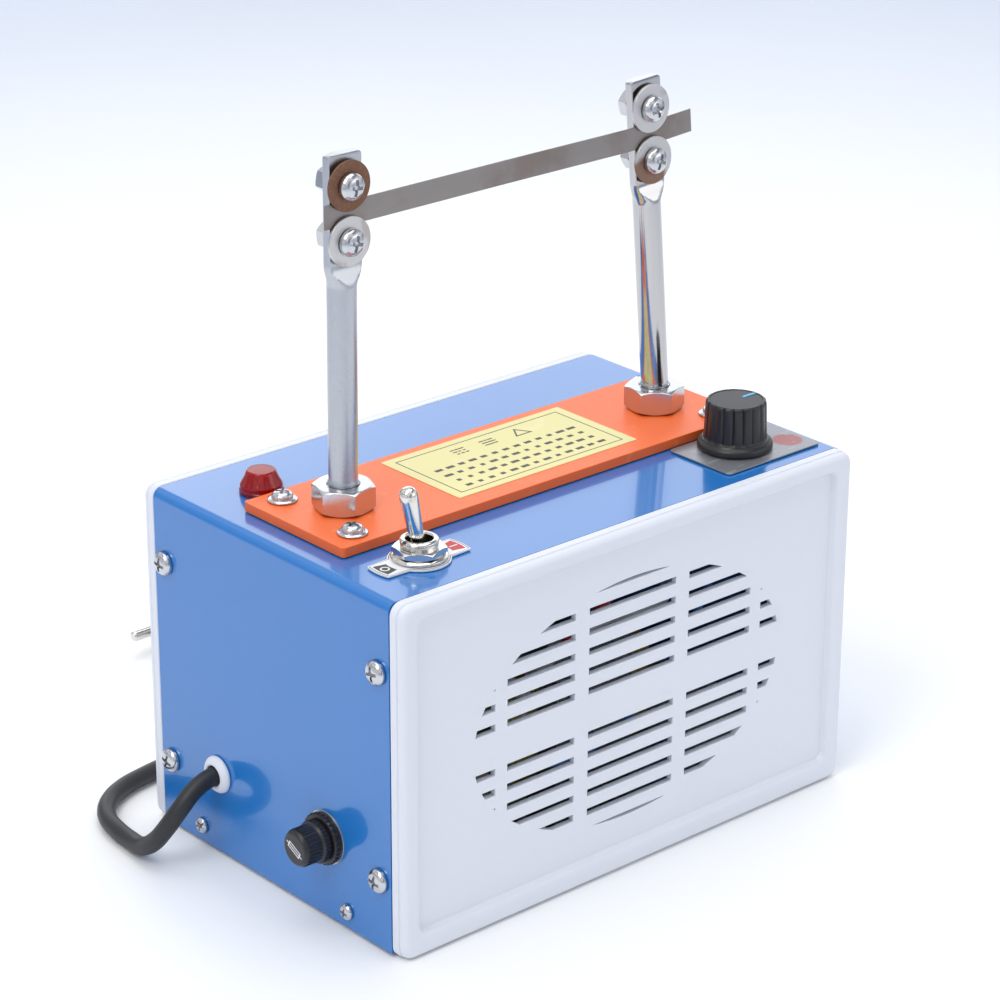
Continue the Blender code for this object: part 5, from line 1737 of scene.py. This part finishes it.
def inlet():
    wall = Vector((-SIDE, spot("fuse_cap").y, spot("fuse_cap").z))
    stand = Matrix.Translation(wall) @ TURN_X
    holder = lathe(
        [
            (0, -27), (6.3, -27, 0.5), (6.3, 0.3), (8.0, 0.3), (8.0, 2.1, 0.2),
            (7.6, 2.6, 0.3), (5.2, 2.6), (5.2, -24), (0, -24),
        ],
        64,
    )
    ribs = copies("ribs", RIBS, None, [((0, 0, 0.9), (0, 0, 1), 0.0)],
                  {"Count": 30, "Radius": 7.95, "Rib Width": 0.9, "Rib Depth": 0.7,
                   "Rib Length": 1.5})
    piece("fuse_holder_body", join(holder, ribs), BLACK_PLASTIC, ["fuse_holder"],
          place=stand)
    washer = lathe([(6.4, 0.05), (8.6, 0.05, 0.1), (8.6, 0.28, 0.1), (6.4, 0.28)], 64, loop=True)
    piece("fuse_washer", washer, WASHER_ZINC, place=stand)
    cap = lathe(
        [
            (2.9, -7), (4.6, -7, 0.2), (4.6, 2.9), (6.4, 2.9, 0.2), (6.55, 3.3, 0.2),
            (6.55, 5.1, 0.3), (5.9, 5.7, 0.3), (5.7, 10.9, 0.4), (5.3, 11.9, 0.5),
            (4.7, 12.15, 0.3), (0, 12.2), (0, 1), (2.9, 1),
        ],
        64,
        loop=True,
    )
    lower = copies("ribs", RIBS, None, [((0, 0, 3.3), (0, 0, 1), 0.0)],
                   {"Count": 36, "Radius": 6.5, "Rib Width": 0.6, "Rib Depth": 0.55,
                    "Rib Length": 1.8})
    upper = copies("ribs", RIBS, None, [((0, 0, 5.9), (0, 0, 1), 0.0)],
                   {"Count": 30, "Radius": 5.72, "Rib Width": 0.62, "Rib Depth": 0.6,
                    "Rib Length": 4.9})
    piece("fuse_cap_knob", join(cap, lower, upper), BLACK_PLASTIC, ["fuse_cap"], "fuse_turn_cap",
          stand)
    symbol = join(
        frame_strip(2.9, 1.05, 0.3, 12.17, 12.23),
        block((8.0, 0.3, 0.05), (0, 0, 12.2)),
    )
    turn = Matrix.Rotation(math.radians(62), 4, "Z")
    piece("fuse_mark", moved(symbol, turn=turn), WHITE_LABEL, (), "fuse_turn_cap",
          stand)
    tube = lathe([(2.1, -15.2), (2.5, -15.2, 0.1), (2.5, -3.2, 0.1), (2.1, -3.2)], 32, loop=True)
    piece("fuse_glass_tube", tube, FUSE_GLASS, ["fuse_tube"], "fuse_carrier", stand)
    caps = [lathe([(0, a), (2.55, a, 0.2), (2.55, b, 0.2), (0, b)], 32)
            for a, b in ((-19.3, -14.4), (-4.0, 0.7))]
    thin_wire = lathe([(0, -14.6), (0.16, -14.6), (0.16, -3.8), (0, -3.8)], 8)
    piece("fuse_end_caps", join(*caps, thin_wire), NICKEL, (), "fuse_carrier", stand)
    hole = Vector((-SIDE, spot("cord_bushing").y, spot("cord_bushing").z))
    bushing = lathe(
        [
            (3.35, -7), (4.8, -7, 0.2), (4.8, 0.3), (6.1, 0.3, 0.1), (6.05, 1.1, 0.5),
            (5.0, 2.3, 1.0), (3.75, 2.6, 0.4), (3.3, 2.2, 0.3),
        ],
        56,
        loop=True,
    )
    piece("cord_bushing_moulding", bushing, WHITE_MOULDING, ["cord_bushing"],
          place=Matrix.Translation(hole) @ TURN_X)


inlet()


# ---------------------------------------------------------------- inside the case


def transformer():
    centre = spot("transformer_core")
    low, high = (corner * 1000 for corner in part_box("transformer_core"))
    half_y, half_z = (high.y - low.y) / 2, (high.z - low.z) / 2
    sheet = block((1.0, 2 * half_y, 2 * half_z), (0, 0, 0))
    for side in (-1, 1):
        sheet = carved(sheet, block((4, 18.0, 39.0), (0, side * 15.5, 0)))
    sheet = loose("sheet", moved(sheet, (0, centre.y, centre.z)))
    count = 25
    pitch = (high.x - low.x - 1.0) / (count - 1)
    made = grown("core_sheets", STACK, LAMINATIONS,
                 {"Sheet": sheet, "Count": count, "Pitch": pitch, "First": low.x + 0.5})
    bpy.data.objects.remove(sheet)
    piece("core_sheets", made, LAMINATIONS, ["transformer_core"])
    low, high = (corner * 1000 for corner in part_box("transformer_coil"))
    coil_half = (high.x - low.x) / 2
    bulge = []
    for step in range(13):
        x = -coil_half + 2 * coil_half * step / 12
        pinch = 0.6 * (1 + math.cos(math.pi * min(1.0, (coil_half - abs(x)) / 3.0))) / 2
        wave = 0.25 * math.sin(step * 2.4)
        outline = rounded(23.9 - pinch - abs(wave), -18.9 + pinch, 18.9 - pinch, 5.0, 6)
        bulge.append([(x, y, z) for y, z in outline])
    coil = moved(skin(bulge), centre)
    leg_slot = block((CORE_SLOT_DEPTH, CORE_SLOT_WIDTH, 60), centre)
    coil = carved(coil, leg_slot)
    piece("wound_coil", coil, COIL_TAPE, ["transformer_coil"])


def board():
    low, high = (corner * 1000 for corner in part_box("control_board"))
    centre = (low + high) / 2
    top = BOARD_TOP
    half_x, half_y = (high.x - low.x) / 2, (high.y - low.y) / 2
    sheet = prism(rounded(half_x, -half_y, half_y, 1.0, 3), top - BOARD_THICKNESS, top)
    sheet = moved(sheet, (centre.x, centre.y, 0))
    piece("board_sheet", sheet, BOARD_GREEN, ["control_board"])
    pillars = [
        moved(lathe([(0, 1.5), (3.0, 1.5, 0.2), (3.0, top - 1.7, 0.2), (0, top - 1.7)], 24),
              (centre.x + x * (half_x - 6), centre.y + y * (half_y - 6), 0))
        for x in (-1, 1) for y in (-1, 1)
    ]
    fins = [block((0.9, 12, 22), (centre.x - 15.4 + 1.85 * n, centre.y + 16, top + 11))
            for n in range(8)]
    fins.append(block((14, 2.0, 22), (centre.x - 9, centre.y + 20.8, top + 11)))
    piece("board_standoffs", join(*pillars, *fins), ALUMINIUM)
    can = lathe([(0, 0), (6, 0), (6, 1.4, 0.4), (5.6, 2.0, 0.3), (6, 2.6, 0.4), (6, 17.5, 0.5),
                 (5.4, 17.8, 0.2), (0, 17.5)], 40)
    piece("board_capacitor", moved(can, (centre.x + 9, centre.y + 14, top)), BLUE_WIRE)
    blocks = []
    for n in range(4):
        cell = block((6.6, 9, 9.2), (centre.x - 10.5 + 7 * n, centre.y - 22, top + 4.6))
        hole = moved(prism(arc((0, 0), 1.9, 0, 337.5, 15), -3, 3),
                     (centre.x - 10.5 + 7 * n, centre.y - 22, top + 9.2))
        blocks.append(carved(cell, hole))
    piece("board_terminals", join(*blocks), TAN_PART, bevel=0.3)


def wire(name, points, radius, material):
    """A wire fixed at both ends inside the case, as a mesh tube."""
    curve = bpy.data.curves.new(name, "CURVE")
    curve.dimensions = "3D"
    curve.bevel_depth = radius * 0.001
    curve.bevel_resolution = 2
    curve.resolution_u = 5
    curve.use_fill_caps = True
    spline = curve.splines.new("BEZIER")
    spline.bezier_points.add(len(points) - 1)
    for target, point in zip(spline.bezier_points, points):
        target.co = Vector(point) * 0.001
        target.handle_left_type = target.handle_right_type = "AUTO"
    obj = bpy.data.objects.new(name, curve)
    bpy.context.scene.collection.objects.link(obj)
    graph = bpy.context.evaluated_depsgraph_get()
    tube = bmesh.new()
    tube.from_mesh(bpy.data.meshes.new_from_object(obj.evaluated_get(graph)))
    bpy.data.objects.remove(obj)
    bmesh.ops.remove_doubles(tube, verts=tube.verts, dist=1e-6)
    dress(loose(name, tube), material)


def wiring():
    switch_spot, knob_spot, lamp_spot = spot("toggle_nut"), spot("knob"), spot("lamp_lens")
    left, right = spot("post_left_nut"), spot("post_right_nut")
    wire("sleeve_left", [(left.x, 0, 99), (left.x + 4, -6, 88), (-44, -22, 74), (-26, -27, 60),
                         (-14, -26, 50), (-12, -22, 42)], 2.6, CLEAR_SLEEVE)
    wire("sleeve_right", [(right.x, 0, 99), (right.x - 4, -8, 86), (48, -28, 76), (30, -38, 72),
                          (10, -38, 74), (-8, -34, 66), (-14, -28, 54)], 2.6, CLEAR_SLEEVE)
    wire("red_lead", [(switch_spot.x + 2, switch_spot.y, 92), (-52, -42, 80), (-30, -44, 70),
                      (0, -43, 80), (30, -42, 92), (knob_spot.x - 4, knob_spot.y, 100)], 1.1,
         RED_WIRE)
    wire("blue_lead", [(switch_spot.x - 2, switch_spot.y, 92), (-58, -40, 74), (-50, -36, 54),
                       (-46, -32, 36)], 1.1, BLUE_WIRE)
    wire("lamp_lead", [(lamp_spot.x, lamp_spot.y, 98), (-64, 26, 82), (-58, 6, 66), (-54, -20, 48),
                       (-53, -30, 36)], 1.0, RED_WIRE)
    wire("dimmer_lead", [(knob_spot.x, knob_spot.y, 102), (58, -42, 90), (34, -46, 60),
                         (0, -46, 36), (-30, -42, 36), (-39, -33, 36)], 1.1, BLUE_WIRE)


transformer()
board()
wiring()

CARRIED = {
    "base_tray": GALVANISED,
    "lamp_holder": BLACK_PLASTIC,
    "knob_shaft": ALUMINIUM,
    "dimmer_control": GALVANISED,
}
for name, material in CARRIED.items():
    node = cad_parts[name]
    node.data.materials.clear()
    node.data.materials.append(material)


# ---------------------------------------------------------------- floor and light


def floor():
    # Painted light and shade: the floor is painted pale blue-grey as painted shade away from the case,
    # and near-white round the case as a painted pool of light.
    material = finish(
        "floor_painted_light_and_shade",
        (0.56, 0.62, 0.74),
        0.6,
        drift=0.25,
        scale=1.6,
        fine=4.0,
        patches=[
            # The painted pool of light: near-white within 0.3 m of a point beside the case, fading to
            # the painted blue-grey shade by 1.26 m.
            {"Patch Colour": (0.93, 0.94, 0.95), "Patch Roughness": 0.6, "Level": -1.0,
             "Centre": (0.05, 0.0, 0.0), "Reach": 0.30, "Fade": 4.2},
        ],
    )
    bm = bmesh.new()
    bmesh.ops.create_grid(bm, x_segments=8, y_segments=8, size=3.0)
    obj = loose("floor", bm)
    obj.location.z = -0.0002
    obj.data.materials.append(material)


def area_light(name, place, target, size, power, colour=(1.0, 1.0, 1.0)):
    data = bpy.data.lights.new(name, "AREA")
    data.shape = "RECTANGLE"
    data.size, data.size_y = size
    data.energy = power
    data.color = colour
    obj = bpy.data.objects.new(name, data)
    obj.location = place
    obj.rotation_euler = (Vector(target) - Vector(place)).to_track_quat("-Z", "Y").to_euler()
    bpy.context.scene.collection.objects.link(obj)


def surroundings():
    """A pale room: plain to the eye, with soft bright and dim parts for metal to reflect."""
    world = bpy.data.worlds.new("pale_room")
    world.use_nodes = True
    tree = world.node_tree
    background = tree.nodes["Background"]
    way = tree.nodes.new("ShaderNodeTexCoord").outputs["Generated"]
    broad = add(tree, "ShaderNodeTexNoise", {"Vector": way, "Scale": 2.2, "Detail": 1.0})
    share = add(
        tree,
        "ShaderNodeMapRange",
        {"Value": broad, "From Min": 0.38, "From Max": 0.60},
        interpolation_type="SMOOTHSTEP",
    )
    room = add_mix(tree, share, (0.26, 0.30, 0.38, 1.0), (1.0, 1.0, 1.0, 1.0))
    seen = tree.nodes.new("ShaderNodeLightPath").outputs["Is Camera Ray"]
    colour = add_mix(tree, seen, room, (0.86, 0.89, 0.95, 1.0))
    tree.links.new(colour, background.inputs["Color"])
    background.inputs["Strength"].default_value = 0.9
    bpy.context.scene.world = world
    bpy.context.scene.view_settings.view_transform = "Standard"


floor()
surroundings()
area_light("key", (-1.0, -0.25, 1.25), (0, 0, 0.08), (0.7, 0.7), 7.0, (1.0, 0.99, 0.97))
area_light("overhead", (0.1, 0.1, 1.7), (0, 0, 0.0), (1.4, 1.4), 10.0)
area_light("fill", (0.7, -1.3, 0.6), (0, 0, 0.08), (0.9, 0.6), 1.6)
area_light("back_panel", (1.15, 1.3, 0.75), (0, 0, 0.1), (2.4, 0.9), 8.5)

bpy.context.view_layer.update()
